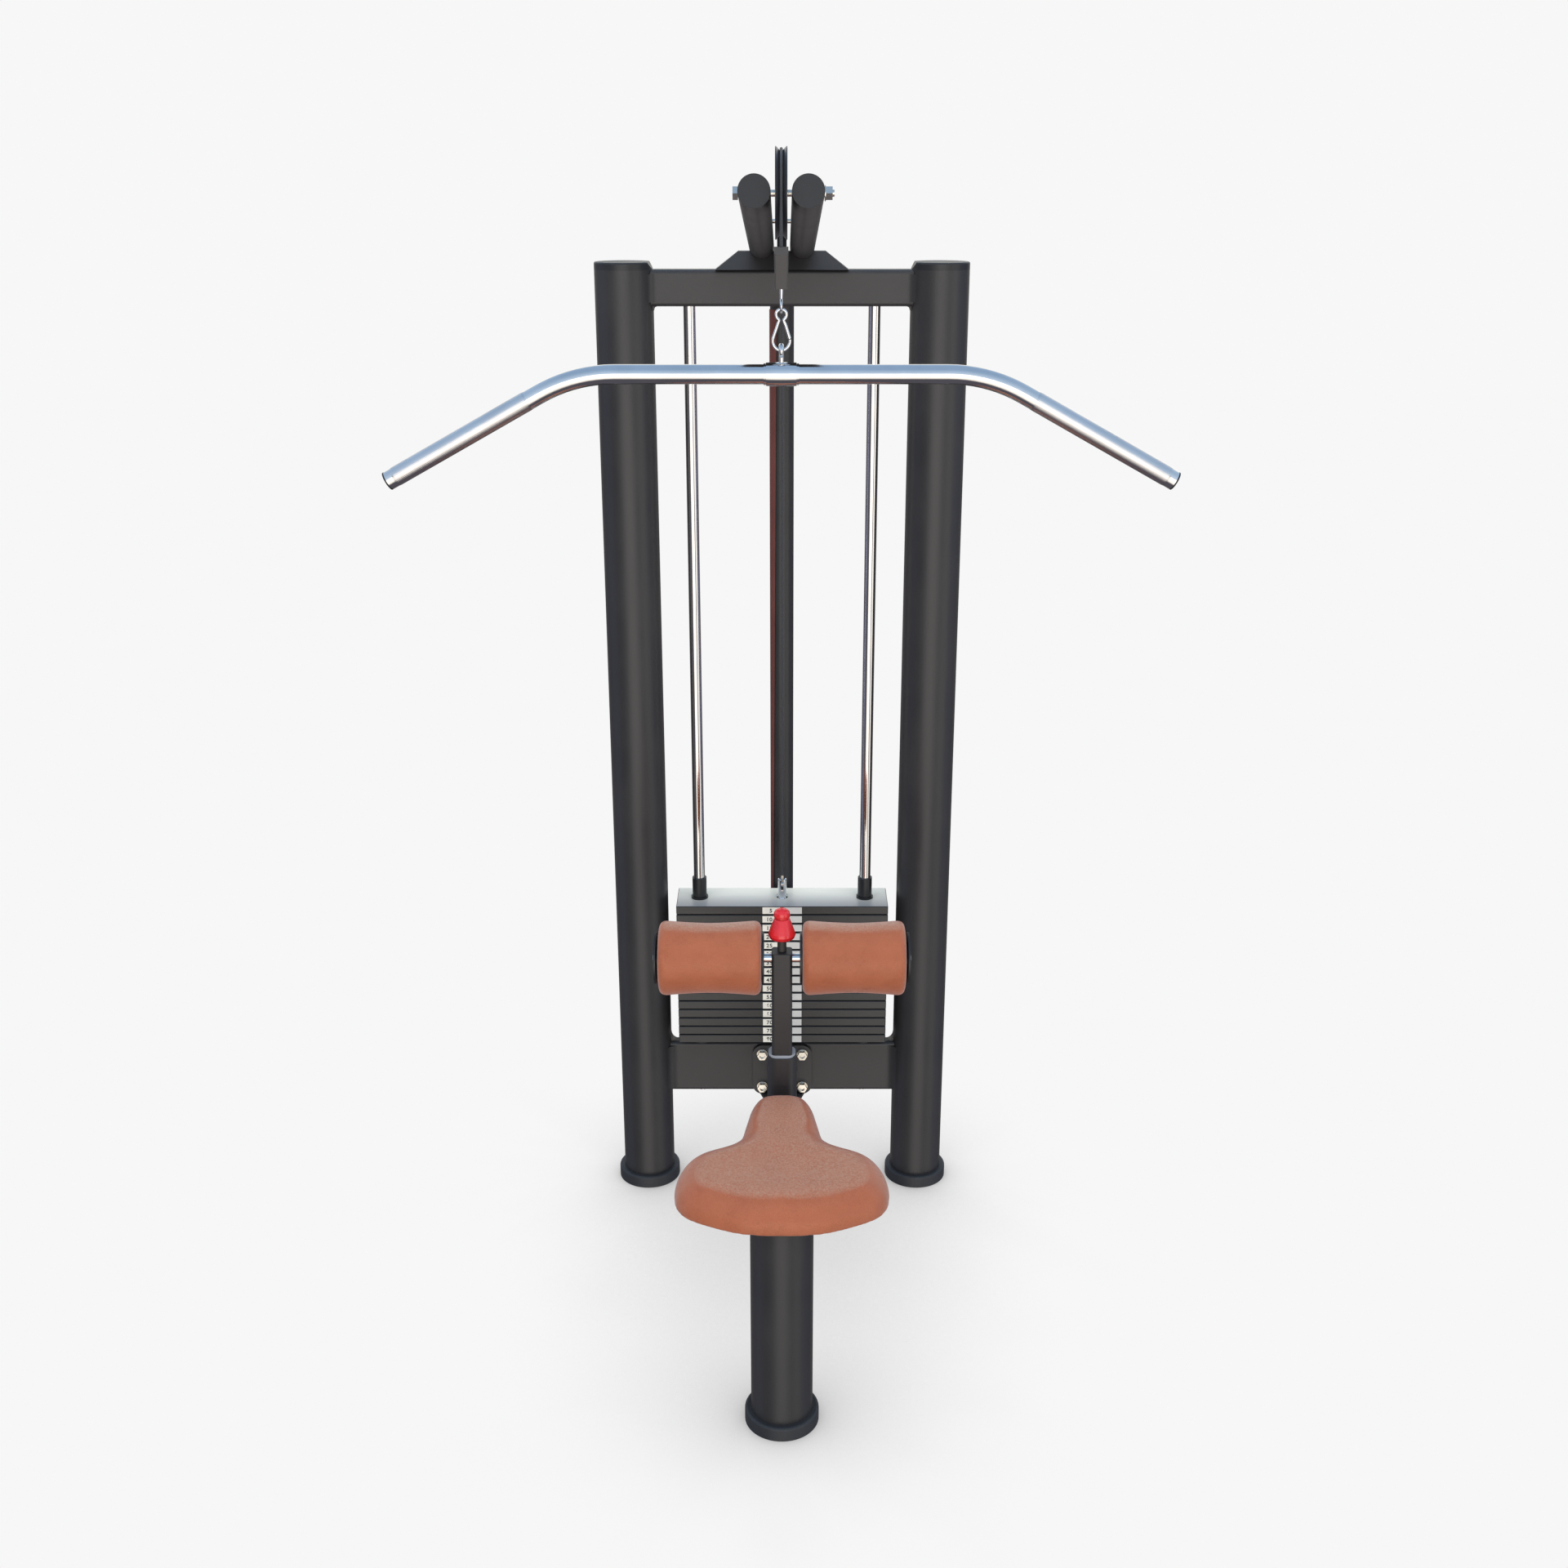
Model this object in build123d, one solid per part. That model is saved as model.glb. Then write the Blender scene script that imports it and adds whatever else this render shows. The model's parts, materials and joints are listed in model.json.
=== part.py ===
from build123d import *
import math
import os

# Lat pulldown machine. Millimetres, +Z up, the user sits towards -Y and faces +Y.
# The origin is on the floor in the middle of the machine's footprint box.

# ---------------------------------------------------------------- driving dimensions
FIT = 0.1                   # radial clearance of a running fit
CABLE_GAP = 0.3             # between the cable and a pulley groove
OVER = 1.0                  # how far a cutting tool reaches past a face

# tubes and main frame
BIG_TUBE_R = 57.15          # 114.3 mm tube of the uprights and the front post
BIG_TUBE_WALL = 3.6
ARM_TUBE_R = 24.15          # 48.3 mm tube of the pulley arms and the rear post
ARM_TUBE_WALL = 3.2
SEAT_FRONT = 912.0          # seat edge, ahead of the plane of the uprights
REAR_POST_BACK = 80.0       # rear post axis, behind that plane
UPRIGHT_Y = (SEAT_FRONT - REAR_POST_BACK - ARM_TUBE_R) / 2
UPRIGHT_X = 307.5
UPRIGHT_TOP = 2019.0
CAP_HEIGHT = 14.0
CAP_ROUND = 3.0
CAP_FACET = (9.0, 16.0)     # slanted facet on the inner side of the cap: width, height
FOOT_R = 69.0
FOOT_HEIGHT = 27.0
FOOT_FLOOR = 5.0            # bottom plate inside each foot
FOOT_ROUND = 5.0
TOP_BEAM_Z = (1950.0, 2019.0)
TOP_BEAM_DEPTH = 44.0
LOW_BEAM_Z = (223.0, 345.0)
LOW_BEAM_DEPTH = 32.0
BEAM_WALL = 3.0
BEAM_CORNER_R = 8.0
TOP_WELD_R = 22.0           # weld fillets between a beam's faces and an upright
LOW_WELD_R = 30.0
TOP_CORNER_R = 9.0          # weld fillet in the corner under the top beam
LOW_CORNER_R = 18.0         # weld fillet in the corner above the lower beam
BRACKET_HALF = 20.0         # half width of the blocks that carry the rear post
TOP_BRACKET_Z = (1965.0, 2005.0)
LOW_BRACKET_Z = (260.0, 310.0)
POST_INSET = 10.0           # rear post ends, inside the height of the beams
STRIP_THICK = 1.4           # trim strip on the rear post
STRIP_EDGE = (-21.0, -11.0) # right edge of the strip at its foot and its top
STRIP_CLEAR = (20.0, 12.0)  # free length under and over the strip
CABLE_HOLE_R = 7.0          # hole for the cable in the beam and the saddle

# guide rods and weight stack
ROD_X = 181.0
ROD_R = 12.0
PLATE_COUNT = 16
LIFTED_COUNT = 8            # plates above the selector pin, the top plate included
PLATE_PITCH = 20.8
PLATE_THICK = 18.8
PLATE_WIDTH = 460.0
PLATE_DEPTH = 104.0
PLATE_EDGE = 1.4
BOSS_R = 24.0               # spacing bosses around the rods
STACK_BOTTOM = 362.0
STACK_TOP = STACK_BOTTOM + PLATE_COUNT * PLATE_PITCH
FRONT_FACE = UPRIGHT_Y - PLATE_DEPTH / 2
BUMPER_R = 20.0
STEM_R = 12.0
STEM_BORE_R = 14.0
STEM_FOOT = 3.0             # stem end above the bottom of the stack
PIN_R = 5.0
PIN_HOLE_R = 5.5
PIN_GRIP_R = 14.0
PIN_GRIP_Y = (30.0, 2.0)    # grip ends, ahead of the plates
PIN_GRIP_ROUND = 6.0
PIN_START = 20.0            # pin end inside the grip, ahead of the plates
LABEL_SIZE = (85.5, 15.4)
LABEL_THICK = 0.6
COLLAR_R = 15.4             # guide bushings on the top plate
COLLAR_HEIGHT = 48.0
COLLAR_LIP = (18.4, 4.0)    # radius and height of the lip at its foot
CLEVIS_R = 9.75             # slotted chrome terminal of the cable
CLEVIS_NECK = (7.5, 4.0)    # radius and height of the screwed neck
CLEVIS_RING = (10.8, 2.5)   # radius and height of the ring at its foot
CLEVIS_HEIGHT = 45.0
CLEVIS_ROUND = 3.6
CLEVIS_SLOT = (2.7, 24.0)   # half width and depth of the slot
CLEVIS_PIN_R = 3.0
CLEVIS_PIN_Z = STACK_TOP + 31.0
CABLE_EYE_R = 6.0           # flat eye pressed on the cable end
CABLE_EYE_HALF = 2.4
FERRULE_R = 3.2
CABLE_END_Z = STACK_TOP + 52.0

# pulleys, arms and cable
CABLE_R = 2.4
PULLEY_R = 65.0
PULLEY_WIDTH = 18.0
ROPE_R = 61.0               # cable axis on the pulley
FRONT_PULLEY = (UPRIGHT_Y - 820.0, 2169.0)
REAR_PULLEY = (UPRIGHT_Y - ROPE_R, 2109.0)
HUB_R = 22.0
WEB_R = 50.0
WEB_HALF = 3.0
RIM_EDGE = 1.5
FRONT_AXLE_R = 5.0
REAR_AXLE_R = 4.0
BEARING_R = 13.0
BEARING_INSET = 2.0
FRONT_HEXAGON = 19.0        # across flats
REAR_HEXAGON = 13.0
WASHER_THICK = 1.5
ARM_X = 39.5
ARM_FRONT = (UPRIGHT_Y - 858.0, 2172.7)
ARM_SLOPE = 7.4             # degrees, falling to the rear
ARM_LENGTH = 905.0
ARM_CAP = 4.0
SADDLE_FOOT = (258.0, 64.0)
SADDLE_TOP = (169.0, 28.0)
SADDLE_HEIGHT = 34.0
SADDLE_SKIN = 5.0
EAR_X = (22.0, 28.0)
EAR_R = 16.0
EAR_DROP = 45.0

# cable end, carabiner and bar
BAR_Y = FRONT_PULLEY[0] - ROPE_R
BAR_Z = 1916.0
BAR_R = 14.5
BAR_WALL = 3.0
BAR_HALF = 593.0
BAR_DROP = 157.0
BAR_CORNER_X = 308.0
BAR_BEND_R = 235.0
BAR_CAP_RIM = 2.5
BAR_CAP_PLUG = 16.0
SLEEVE_R = 17.8             # middle of the barrel-shaped sleeve
SLEEVE_END_R = 16.9
SLEEVE_HALF = 22.7
CLIP_WIDTH = 3.0            # retaining ring beside the sleeve
CLIP_THICK = 1.2
CLIP_GAP = 0.4
STOP_Z = (2038.0, 2096.0)   # rubber stop under the front pulley
STOP_SIZE = (21.0, 30.0)
STOP_FOOT = (19.5, 26.0)
STOP_ROUND = 3.0
STOP_BEVEL = 12.0
SWIVEL_R = 4.0
SWIVEL_DEPTH = 14.0
EYE_Z = 2013.5              # ring under the cable stop
EYE_R = 9.0
EYE_WIRE_R = 2.0
EYE_SHANK_R = 3.1
HOOK_WIRE_R = 2.25
HOOK_LOW_R = 12.75          # wide lower bow of the carabiner
HOOK_LOW_Z = 1963.5
HOOK_TOP_R = 7.7            # small upper eyelet
HOOK_TOP_Z = 2001.2
HOOK_NECK = 48.0            # degrees below the level where the eyelet ends
HOOK_NECK_STEP = 2.9
HOOK_BEND_R = 3.0
HOOK_BOW = (161, 211)       # first angle and sweep of the lower bow
GATE_HINGE = (5.6, 1988.0)
GATE_NOSE = (12.3, 1967.0)
GATE_R = 2.6
GATE_GAP = 0.35
TONGUE_R = 1.7              # flat end of the wire inside the gate
TONGUE_HALF = 0.8
RIVET_R = 0.9
GATE_SLOT = (1.1, 2.35)     # half width and depth of the slot below the rivet
HANGER_RING_R = 7.0         # ring on the bar sleeve
HANGER_WIRE_R = 3.9
HANGER_GAP = 0.15
HANGER_TOP = HOOK_LOW_Z - HOOK_LOW_R + HOOK_WIRE_R + HANGER_GAP
HANGER_Z = HANGER_TOP + HANGER_WIRE_R - HANGER_RING_R

# base rail, front post and seat
FRONT_POST_Y = UPRIGHT_Y - 840.0
FRONT_POST_TOP = 425.0
RAIL_Z = 281.0
RAIL_R = 32.0
RAIL_WALL = 4.0
FLANGE_SIZE = (132.0, 122.0)
FLANGE_ROUND = 21.0
FLANGE_THICK = 10.0
FLANGE_BACK = UPRIGHT_Y - LOW_BEAM_DEPTH / 2
FLANGE_FRONT = FLANGE_BACK - FLANGE_THICK
FLANGE_BOTTOM = RAIL_Z - FLANGE_SIZE[1] / 2
GUSSET_HALF = (50.0, 30.0)  # half width at the flange and at its tip
GUSSET_REACH = 62.0
GUSSET_THICK = 6.0
WEB_THICK = 8.0
BOLT_SPACING = (90.0, 82.0)
BOLT_R = 6.0
BOLT_HEXAGON = 19.0
BOLT_HEAD = 7.5
BOLT_END = 9.0              # thread end ahead of the flange, inside the nut
NUT_FACE = 13.0
BOLT_WASHER = (12.0, 2.5)   # radius and thickness
ROLLER_Y = UPRIGHT_Y - 448.0
SOCKET_SIZE = (58.0, 56.0)
SOCKET_WALL = 4.0
SOCKET_ROUND = 20.0
SOCKET_TOP = 553.0
BUSHING_RIM = (53.0, 42.0)
BUSHING_ROUND = 16.0
BUSHING_LIP = 4.0
BUSHING_DEPTH = 64.0
SEAT_Z = (445.0, 500.0)
SEAT_TOP_ROUND = 20.0
SEAT_LOW_ROUND = 8.0
BOARD_THICK = 12.0
BOARD_INSET = 30.0
SEAT_BOARD_Z = (SEAT_Z[0] - BOARD_THICK, SEAT_Z[0])
SEAT_PLATE_HALF = 80.0
SEAT_PLATE_AHEAD = (868.0, 745.0)
SEAT_BOLTS = [(x, UPRIGHT_Y - ahead) for x in (-66, 66) for ahead in (850, 763)]
SEAT_BOLT_R = 4.0
SEAT_BOLT_HEAD = (7.0, 4.0) # radius and height
SEAT_NOSE = 504.0
# corners of the right half of the seat plan: half width, distance ahead of the uprights, round
SEAT_CORNERS = [(54.0, 504.5, 34.0), (80.0, 658.0, 45.0), (197.0, 710.0, 70.0), (194.0, 862.0, 46.0)]

# thigh rollers
ROLLER_Z = 760.0
ROLLER_R = 74.0
ROLLER_WAIST = 4.5
ROLLER_SHOULDER = 11.0
ROLLER_X = (39.0, 242.5)    # inner and outer end of a roller pad
ROLLER_AXLE_R = 9.0
ROLLER_NUT_X = (247.1, 250.0)
ROLLER_NUT_HEXAGON = 15.0
AXLE_INNER = 9.0
DISC_R = 50.0
DISC_THICK = 4.0
CORE_R = 24.0
POST_SIZE = (40.0, 38.0)
POST_ROUND = 6.0
POST_TOP_ROUND = 2.0
POST_Z = (395.0, 775.0)
KNOB_Z = 802.5              # lower rim of the red bell
KNOB_ROD_R = 7.0
KNOB_TAIL_R = 4.5
KNOB_TAIL_Z = (415.0, 628.0)
KNOB_COLLAR_R = 8.8
# radius and height of the bell and of the small cap over its neck
KNOB_BELL = [(0, 0), (21, 0), (24.5, 2.5), (26.5, 8.5), (25, 14), (20, 28), (15.6, 40), (14.6, 41.5)]
KNOB_CAP = [(13, 42), (13, 43.2), (15.4, 44.6), (16, 49), (15, 54.5), (12, 58.6), (7, 61), (0, 61.6)]


# ---------------------------------------------------------------- small helpers
def save(name, *solids):
    """Write one node; several solids stay separate inside it."""
    shape = solids[0] if len(solids) == 1 else Compound(children=list(solids))
    export_step(shape, f"parts/{name}.step")


def block(x, y, z):
    """Box from three (low, high) pairs."""
    size = (x[1] - x[0], y[1] - y[0], z[1] - z[0])
    centre = ((x[0] + x[1]) / 2, (y[0] + y[1]) / 2, (z[0] + z[1]) / 2)
    return Pos(*centre) * Box(*size)


def rod_x(radius, x, y, z):
    """Cylinder along X between x[0] and x[1]."""
    return Pos((x[0] + x[1]) / 2, y, z) * Rot(0, 90, 0) * Cylinder(radius, x[1] - x[0])


def rod_y(radius, y, x, z):
    """Cylinder along Y between y[0] and y[1]."""
    return Pos(x, (y[0] + y[1]) / 2, z) * Rot(90, 0, 0) * Cylinder(radius, y[1] - y[0])


def rod_z(radius, z, x, y):
    """Cylinder along Z between z[0] and z[1]."""
    return Pos(x, y, (z[0] + z[1]) / 2) * Cylinder(radius, z[1] - z[0])


def hexagon_x(across_flats, x, y, z):
    """Hexagonal prism along X."""
    face = RegularPolygon(across_flats / 2, 6, major_radius=False)
    return extrude(Plane.YZ.offset(x[0]) * Pos(y, z) * face, x[1] - x[0])


def hexagon_y(across_flats, y, x, z):
    """Hexagonal prism along Y."""
    face = RegularPolygon(across_flats / 2, 6, major_radius=False)
    return extrude(Plane(origin=(x, y[0], z), x_dir=(1, 0, 0), z_dir=(0, 1, 0)) * face, y[1] - y[0])


def column(size, radius, z, x, y):
    """Upright bar of rounded rectangular section."""
    face = RectangleRounded(size[0], size[1], radius)
    return extrude(Pos(x, y, z[0]) * face, z[1] - z[0])


def prism_x(points, x):
    """Prism along X from (y, z) points."""
    face = make_face(Plane.YZ.offset(x[0]) * Polyline(*points, close=True))
    return extrude(face, x[1] - x[0], dir=(1, 0, 0))


def prism_y(points, y):
    """Prism along Y from (x, z) points."""
    face = make_face(Plane.XZ.offset(-y[0]) * Polyline(*points, close=True))
    return extrude(face, y[1] - y[0], dir=(0, 1, 0))


def prism_z(points, z):
    """Prism along Z from (x, y) points."""
    face = make_face(Plane.XY.offset(z[0]) * Polyline(*points, close=True))
    return extrude(face, z[1] - z[0], dir=(0, 0, 1))


def spun_z(points, x, y, z):
    """Solid of revolution about a vertical axis from (radius, height) points."""
    face = make_face(Plane.XZ * Polyline(*points, close=True))
    return Pos(x, y, z) * revolve(face, Axis.Z)


def both_sides(make):
    """The left and the right copy of something built at x > 0."""
    right = make()
    return mirror(right, Plane.YZ), right


def around(centre, half):
    """(low, high) pair on both sides of a centre."""
    return centre - half, centre + half


# ---------------------------------------------------------------- main frame
def upright_body(x):
    return rod_z(BIG_TUBE_R, (0, UPRIGHT_TOP + CAP_HEIGHT), x, UPRIGHT_Y)


def upright(x):
    height = (FOOT_FLOOR, UPRIGHT_TOP)
    tube = rod_z(BIG_TUBE_R, height, x, UPRIGHT_Y)
    return tube - rod_z(BIG_TUBE_R - BIG_TUBE_WALL, height, x, UPRIGHT_Y)


def upright_cap():
    """Plug on an upright, with a slanted facet towards the top beam."""
    top = UPRIGHT_TOP + CAP_HEIGHT
    cap = rod_z(BIG_TUBE_R, (UPRIGHT_TOP, top), UPRIGHT_X, UPRIGHT_Y)
    cap = fillet(cap.edges().group_by(Axis.Z)[-1], CAP_ROUND)
    outside = UPRIGHT_X - BIG_TUBE_R - OVER
    width, height = CAP_FACET
    wedge = [(outside + OVER + width, top), (outside, top - height), (outside, top)]
    return cap - prism_y(wedge, around(UPRIGHT_Y, BIG_TUBE_R))


def foot(x, y):
    cup = rod_z(FOOT_R, (0, FOOT_HEIGHT), x, y)
    cup = fillet(cup.edges().group_by(Axis.Z)[-1], FOOT_ROUND)
    return cup - rod_z(BIG_TUBE_R, (FOOT_FLOOR, FOOT_HEIGHT), x, y)


def side_weld(z, depth, radius):
    """Concave weld fillet between the front face of a beam and the right upright."""
    face_y = UPRIGHT_Y - depth / 2
    centre_y = face_y - radius
    reach = BIG_TUBE_R + radius
    centre_x = UPRIGHT_X - math.sqrt(reach**2 - (UPRIGHT_Y - centre_y) ** 2)
    share = BIG_TUBE_R / reach
    touch = (UPRIGHT_X - (UPRIGHT_X - centre_x) * share, UPRIGHT_Y - (UPRIGHT_Y - centre_y) * share)
    height = (z[0] + BEAM_CORNER_R, z[1] - BEAM_CORNER_R)
    inside = UPRIGHT_X - BIG_TUBE_R / 2
    outline = [(centre_x, face_y), touch, (inside, face_y + OVER), (centre_x, face_y + OVER)]
    web = prism_z(outline, height)
    return web - rod_z(radius, height, centre_x, centre_y) - upright_body(UPRIGHT_X)


def corner_weld(z, depth, radius, up):
    """Concave weld fillet in the corner between an upright and the edge of a beam."""
    x = UPRIGHT_X - BIG_TUBE_R
    inside = x + BIG_TUBE_WALL + OVER
    side = radius if up else -radius
    reach = around(UPRIGHT_Y, depth / 2 - BEAM_CORNER_R)
    web = prism_y([(x - radius, z), (inside, z), (inside, z + side), (x, z + side)], reach)
    return web - rod_y(radius, reach, x - radius, z + side) - upright_body(UPRIGHT_X)


def beam(z, depth, weld_r):
    """Rectangular tube between the uprights, coped to their walls and welded to them."""
    height = z[1] - z[0]
    outer = RectangleRounded(depth, height, BEAM_CORNER_R)
    inner = RectangleRounded(depth - 2 * BEAM_WALL, height - 2 * BEAM_WALL, BEAM_CORNER_R - BEAM_WALL)
    section = Plane.YZ * Pos(UPRIGHT_Y, (z[0] + z[1]) / 2) * (outer - inner)
    tube = extrude(section, UPRIGHT_X, both=True)
    tube = tube - upright_body(-UPRIGHT_X) - upright_body(UPRIGHT_X)
    for weld in both_sides(lambda: side_weld(z, depth, weld_r)):
        tube += weld
        tube += mirror(weld, Plane.XZ.offset(-UPRIGHT_Y))
    return tube


def top_beam():
    """Beam over the stack, drilled for the rod ends and the cable."""
    shape = beam(TOP_BEAM_Z, TOP_BEAM_DEPTH, TOP_WELD_R)
    for weld in both_sides(lambda: corner_weld(TOP_BEAM_Z[0], TOP_BEAM_DEPTH, TOP_CORNER_R, False)):
        shape += weld
    lower_wall = (TOP_BEAM_Z[0] - OVER, TOP_BEAM_Z[0] + BEAM_WALL + OVER)
    for x in (-ROD_X, ROD_X):
        shape -= rod_z(ROD_R, lower_wall, x, UPRIGHT_Y)
    return shape - rod_z(CABLE_HOLE_R, (TOP_BEAM_Z[0] - OVER, TOP_BEAM_Z[1] + OVER), 0, UPRIGHT_Y)


def low_beam():
    """Beam under the stack, drilled for the rods and the flange bolts."""
    shape = beam(LOW_BEAM_Z, LOW_BEAM_DEPTH, LOW_WELD_R)
    for weld in both_sides(lambda: corner_weld(LOW_BEAM_Z[1], LOW_BEAM_DEPTH, LOW_CORNER_R, True)):
        shape += weld
    for x in (-ROD_X, ROD_X):
        shape -= rod_z(ROD_R, (LOW_BEAM_Z[0] - OVER, LOW_BEAM_Z[1] + OVER), x, UPRIGHT_Y)
    for x, z in bolt_places():
        shape -= rod_y(BOLT_R, around(UPRIGHT_Y, LOW_BEAM_DEPTH / 2 + OVER), x, z)
    return shape


def rear_bracket(z, beam_depth):
    """Welded block that ties the rear post to a beam."""
    y = UPRIGHT_Y + REAR_POST_BACK
    web = block((-BRACKET_HALF, BRACKET_HALF), (UPRIGHT_Y + beam_depth / 2, y), z)
    return web - rod_z(ARM_TUBE_R - ARM_TUBE_WALL / 2, z, 0, y)


def rear_post():
    """Slim tube behind the stack with a welded bracket for each beam."""
    height = (LOW_BEAM_Z[0] + POST_INSET, TOP_BEAM_Z[1] - POST_INSET)
    y = UPRIGHT_Y + REAR_POST_BACK
    tube = rod_z(ARM_TUBE_R, height, 0, y) - rod_z(ARM_TUBE_R - ARM_TUBE_WALL, height, 0, y)
    return tube + rear_bracket(TOP_BRACKET_Z, TOP_BEAM_DEPTH) + rear_bracket(LOW_BRACKET_Z, LOW_BEAM_DEPTH)


def rear_post_strip():
    """Curved trim strip on the front left of the rear post, tapering downwards."""
    y = UPRIGHT_Y + REAR_POST_BACK
    low = STACK_BOTTOM + STRIP_CLEAR[0]
    high = TOP_BEAM_Z[0] - STRIP_CLEAR[1]
    radius = ARM_TUBE_R + STRIP_THICK
    shell = rod_z(radius, (low, high), 0, y) - rod_z(ARM_TUBE_R, (low, high), 0, y)
    side = -radius - OVER
    outline = [(side, low), (STRIP_EDGE[0], low), (STRIP_EDGE[1], high), (side, high)]
    return shell & prism_y(outline, (y - radius - OVER, y))


def guide_rod(x):
    return rod_z(ROD_R, (LOW_BEAM_Z[0], TOP_BEAM_Z[1] - BEAM_WALL), x, UPRIGHT_Y)


def bumper(x):
    """Rubber ring around a rod, between the lower beam and the stack."""
    height = (LOW_BEAM_Z[1], STACK_BOTTOM)
    return rod_z(BUMPER_R, height, x, UPRIGHT_Y) - rod_z(ROD_R, height, x, UPRIGHT_Y)


def make_frame():
    save("left_upright", upright(-UPRIGHT_X))
    save("right_upright", upright(UPRIGHT_X))
    arm_caps = [cap for side in (-1, 1) for cap in arm_end_caps(side)]
    save("tube_end_caps", *both_sides(upright_cap), *arm_caps)
    save("feet", foot(-UPRIGHT_X, UPRIGHT_Y), foot(UPRIGHT_X, UPRIGHT_Y), foot(0, FRONT_POST_Y))
    save("top_beam", top_beam())
    save("lower_beam", low_beam())
    save("rear_post", rear_post())
    save("rear_post_strip", rear_post_strip())
    save("guide_rods", guide_rod(-ROD_X), guide_rod(ROD_X))
    save("stack_bumpers", bumper(-ROD_X), bumper(ROD_X))


# ---------------------------------------------------------------- pulley arms
def arm_plane(side):
    """Plane at the front end of an arm, its normal running down the arm to the rear."""
    slope = math.radians(ARM_SLOPE)
    return Plane(origin=(side * ARM_X, *ARM_FRONT), z_dir=(0, math.cos(slope), -math.sin(slope)))


def arm_stick(side, radius, start, end):
    """Round bar on an arm's axis between two distances from its front end."""
    return arm_plane(side) * Pos(0, 0, (start + end) / 2) * Cylinder(radius, end - start)


def arm(side):
    tube = arm_stick(side, ARM_TUBE_R, ARM_CAP, ARM_LENGTH - ARM_CAP)
    tube -= arm_stick(side, ARM_TUBE_R - ARM_TUBE_WALL, 0, ARM_LENGTH)
    return tube - rod_x(FRONT_AXLE_R, around(side * ARM_X, ARM_TUBE_R + OVER), *FRONT_PULLEY)


def arm_end_caps(side):
    front = arm_stick(side, ARM_TUBE_R, 0, ARM_CAP)
    rear = arm_stick(side, ARM_TUBE_R, ARM_LENGTH - ARM_CAP, ARM_LENGTH)
    return front, rear


def saddle_pyramid(inset, height):
    """Truncated pyramid on the top beam, drawn in by an inset on every side."""
    foot_face = Rectangle(SADDLE_FOOT[0] - 2 * inset, SADDLE_FOOT[1] - 2 * inset)
    top_face = Rectangle(SADDLE_TOP[0] - 2 * inset, SADDLE_TOP[1] - 2 * inset)
    z = TOP_BEAM_Z[1]
    return loft([Pos(0, UPRIGHT_Y, z) * foot_face, Pos(0, UPRIGHT_Y, z + height) * top_face])


def arm_saddle():
    """Folded sheet saddle on the top beam, notched around the two arm tubes."""
    shape = saddle_pyramid(0, SADDLE_HEIGHT) - saddle_pyramid(SADDLE_SKIN, SADDLE_HEIGHT - SADDLE_SKIN)
    for side in (-1, 1):
        shape -= arm_stick(side, ARM_TUBE_R, 0, ARM_LENGTH)
    height = (TOP_BEAM_Z[1], TOP_BEAM_Z[1] + SADDLE_HEIGHT + OVER)
    return shape - rod_z(CABLE_HOLE_R, height, 0, UPRIGHT_Y)


def pulley_ear(side):
    """Plate on an arm that carries the rear pulley's axle."""
    y, z = REAR_PULLEY
    x = sorted((side * EAR_X[0], side * EAR_X[1]))
    ear = rod_x(EAR_R, x, y, z) + block(x, around(y, EAR_R), (z - EAR_DROP, z))
    return ear - arm_stick(side, ARM_TUBE_R, 0, ARM_LENGTH) - rod_x(REAR_AXLE_R, x, y, z)


def pulley(centre):
    """Grooved wheel with a lightened web and a bearing seat."""
    half = PULLEY_WIDTH / 2
    groove = ROPE_R - CABLE_R - CABLE_GAP
    seat = BEARING_R + FIT
    points = [(seat, -half), (HUB_R, -half), (HUB_R, -WEB_HALF), (WEB_R, -WEB_HALF), (WEB_R, -half)]
    points += [(PULLEY_R, -half), (PULLEY_R, -half + RIM_EDGE)]
    points += [(groove + RIM_EDGE, -CABLE_R - CABLE_GAP), (groove, -CABLE_R / 2)]
    mirrored = [(radius, -height) for radius, height in reversed(points)]
    return Pos(0, *centre) * Rot(0, 90, 0) * spun_z(points + mirrored, 0, 0, 0)


def bearing(centre, axle_r):
    reach = around(0, PULLEY_WIDTH / 2 - BEARING_INSET)
    return rod_x(BEARING_R, reach, *centre) - rod_x(axle_r, reach, *centre)


def axle_bolt(centre, radius, grip, hexagon):
    """Bolt with its head on the left; the nut and washer sit on the right."""
    shank = rod_x(radius, (-grip, grip + hexagon * 0.75), *centre)
    head = hexagon_x(hexagon, (-grip - hexagon * 0.4, -grip), *centre)
    return shank + head


def axle_nut(centre, radius, grip, hexagon):
    nut = hexagon_x(hexagon, (grip + WASHER_THICK, grip + hexagon * 0.6), *centre)
    washer = rod_x(hexagon * 0.6, (grip, grip + WASHER_THICK), *centre)
    return nut + washer - rod_x(radius, (grip, grip + hexagon), *centre)


def make_pulley_arms():
    save("left_arm", arm(-1))
    save("right_arm", arm(1))
    save("arm_saddle", arm_saddle())
    save("rear_pulley_brackets", pulley_ear(-1), pulley_ear(1))
    save("front_pulley", pulley(FRONT_PULLEY))
    save("rear_pulley", pulley(REAR_PULLEY))
    save("pulley_bearings", bearing(FRONT_PULLEY, FRONT_AXLE_R), bearing(REAR_PULLEY, REAR_AXLE_R))
    front = (FRONT_PULLEY, FRONT_AXLE_R, ARM_X + ARM_TUBE_R, FRONT_HEXAGON)
    rear = (REAR_PULLEY, REAR_AXLE_R, EAR_X[1], REAR_HEXAGON)
    save("pulley_axle_bolts", axle_bolt(*front), axle_bolt(*rear))
    save("pulley_axle_nuts", axle_nut(*front), axle_nut(*rear))


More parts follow.
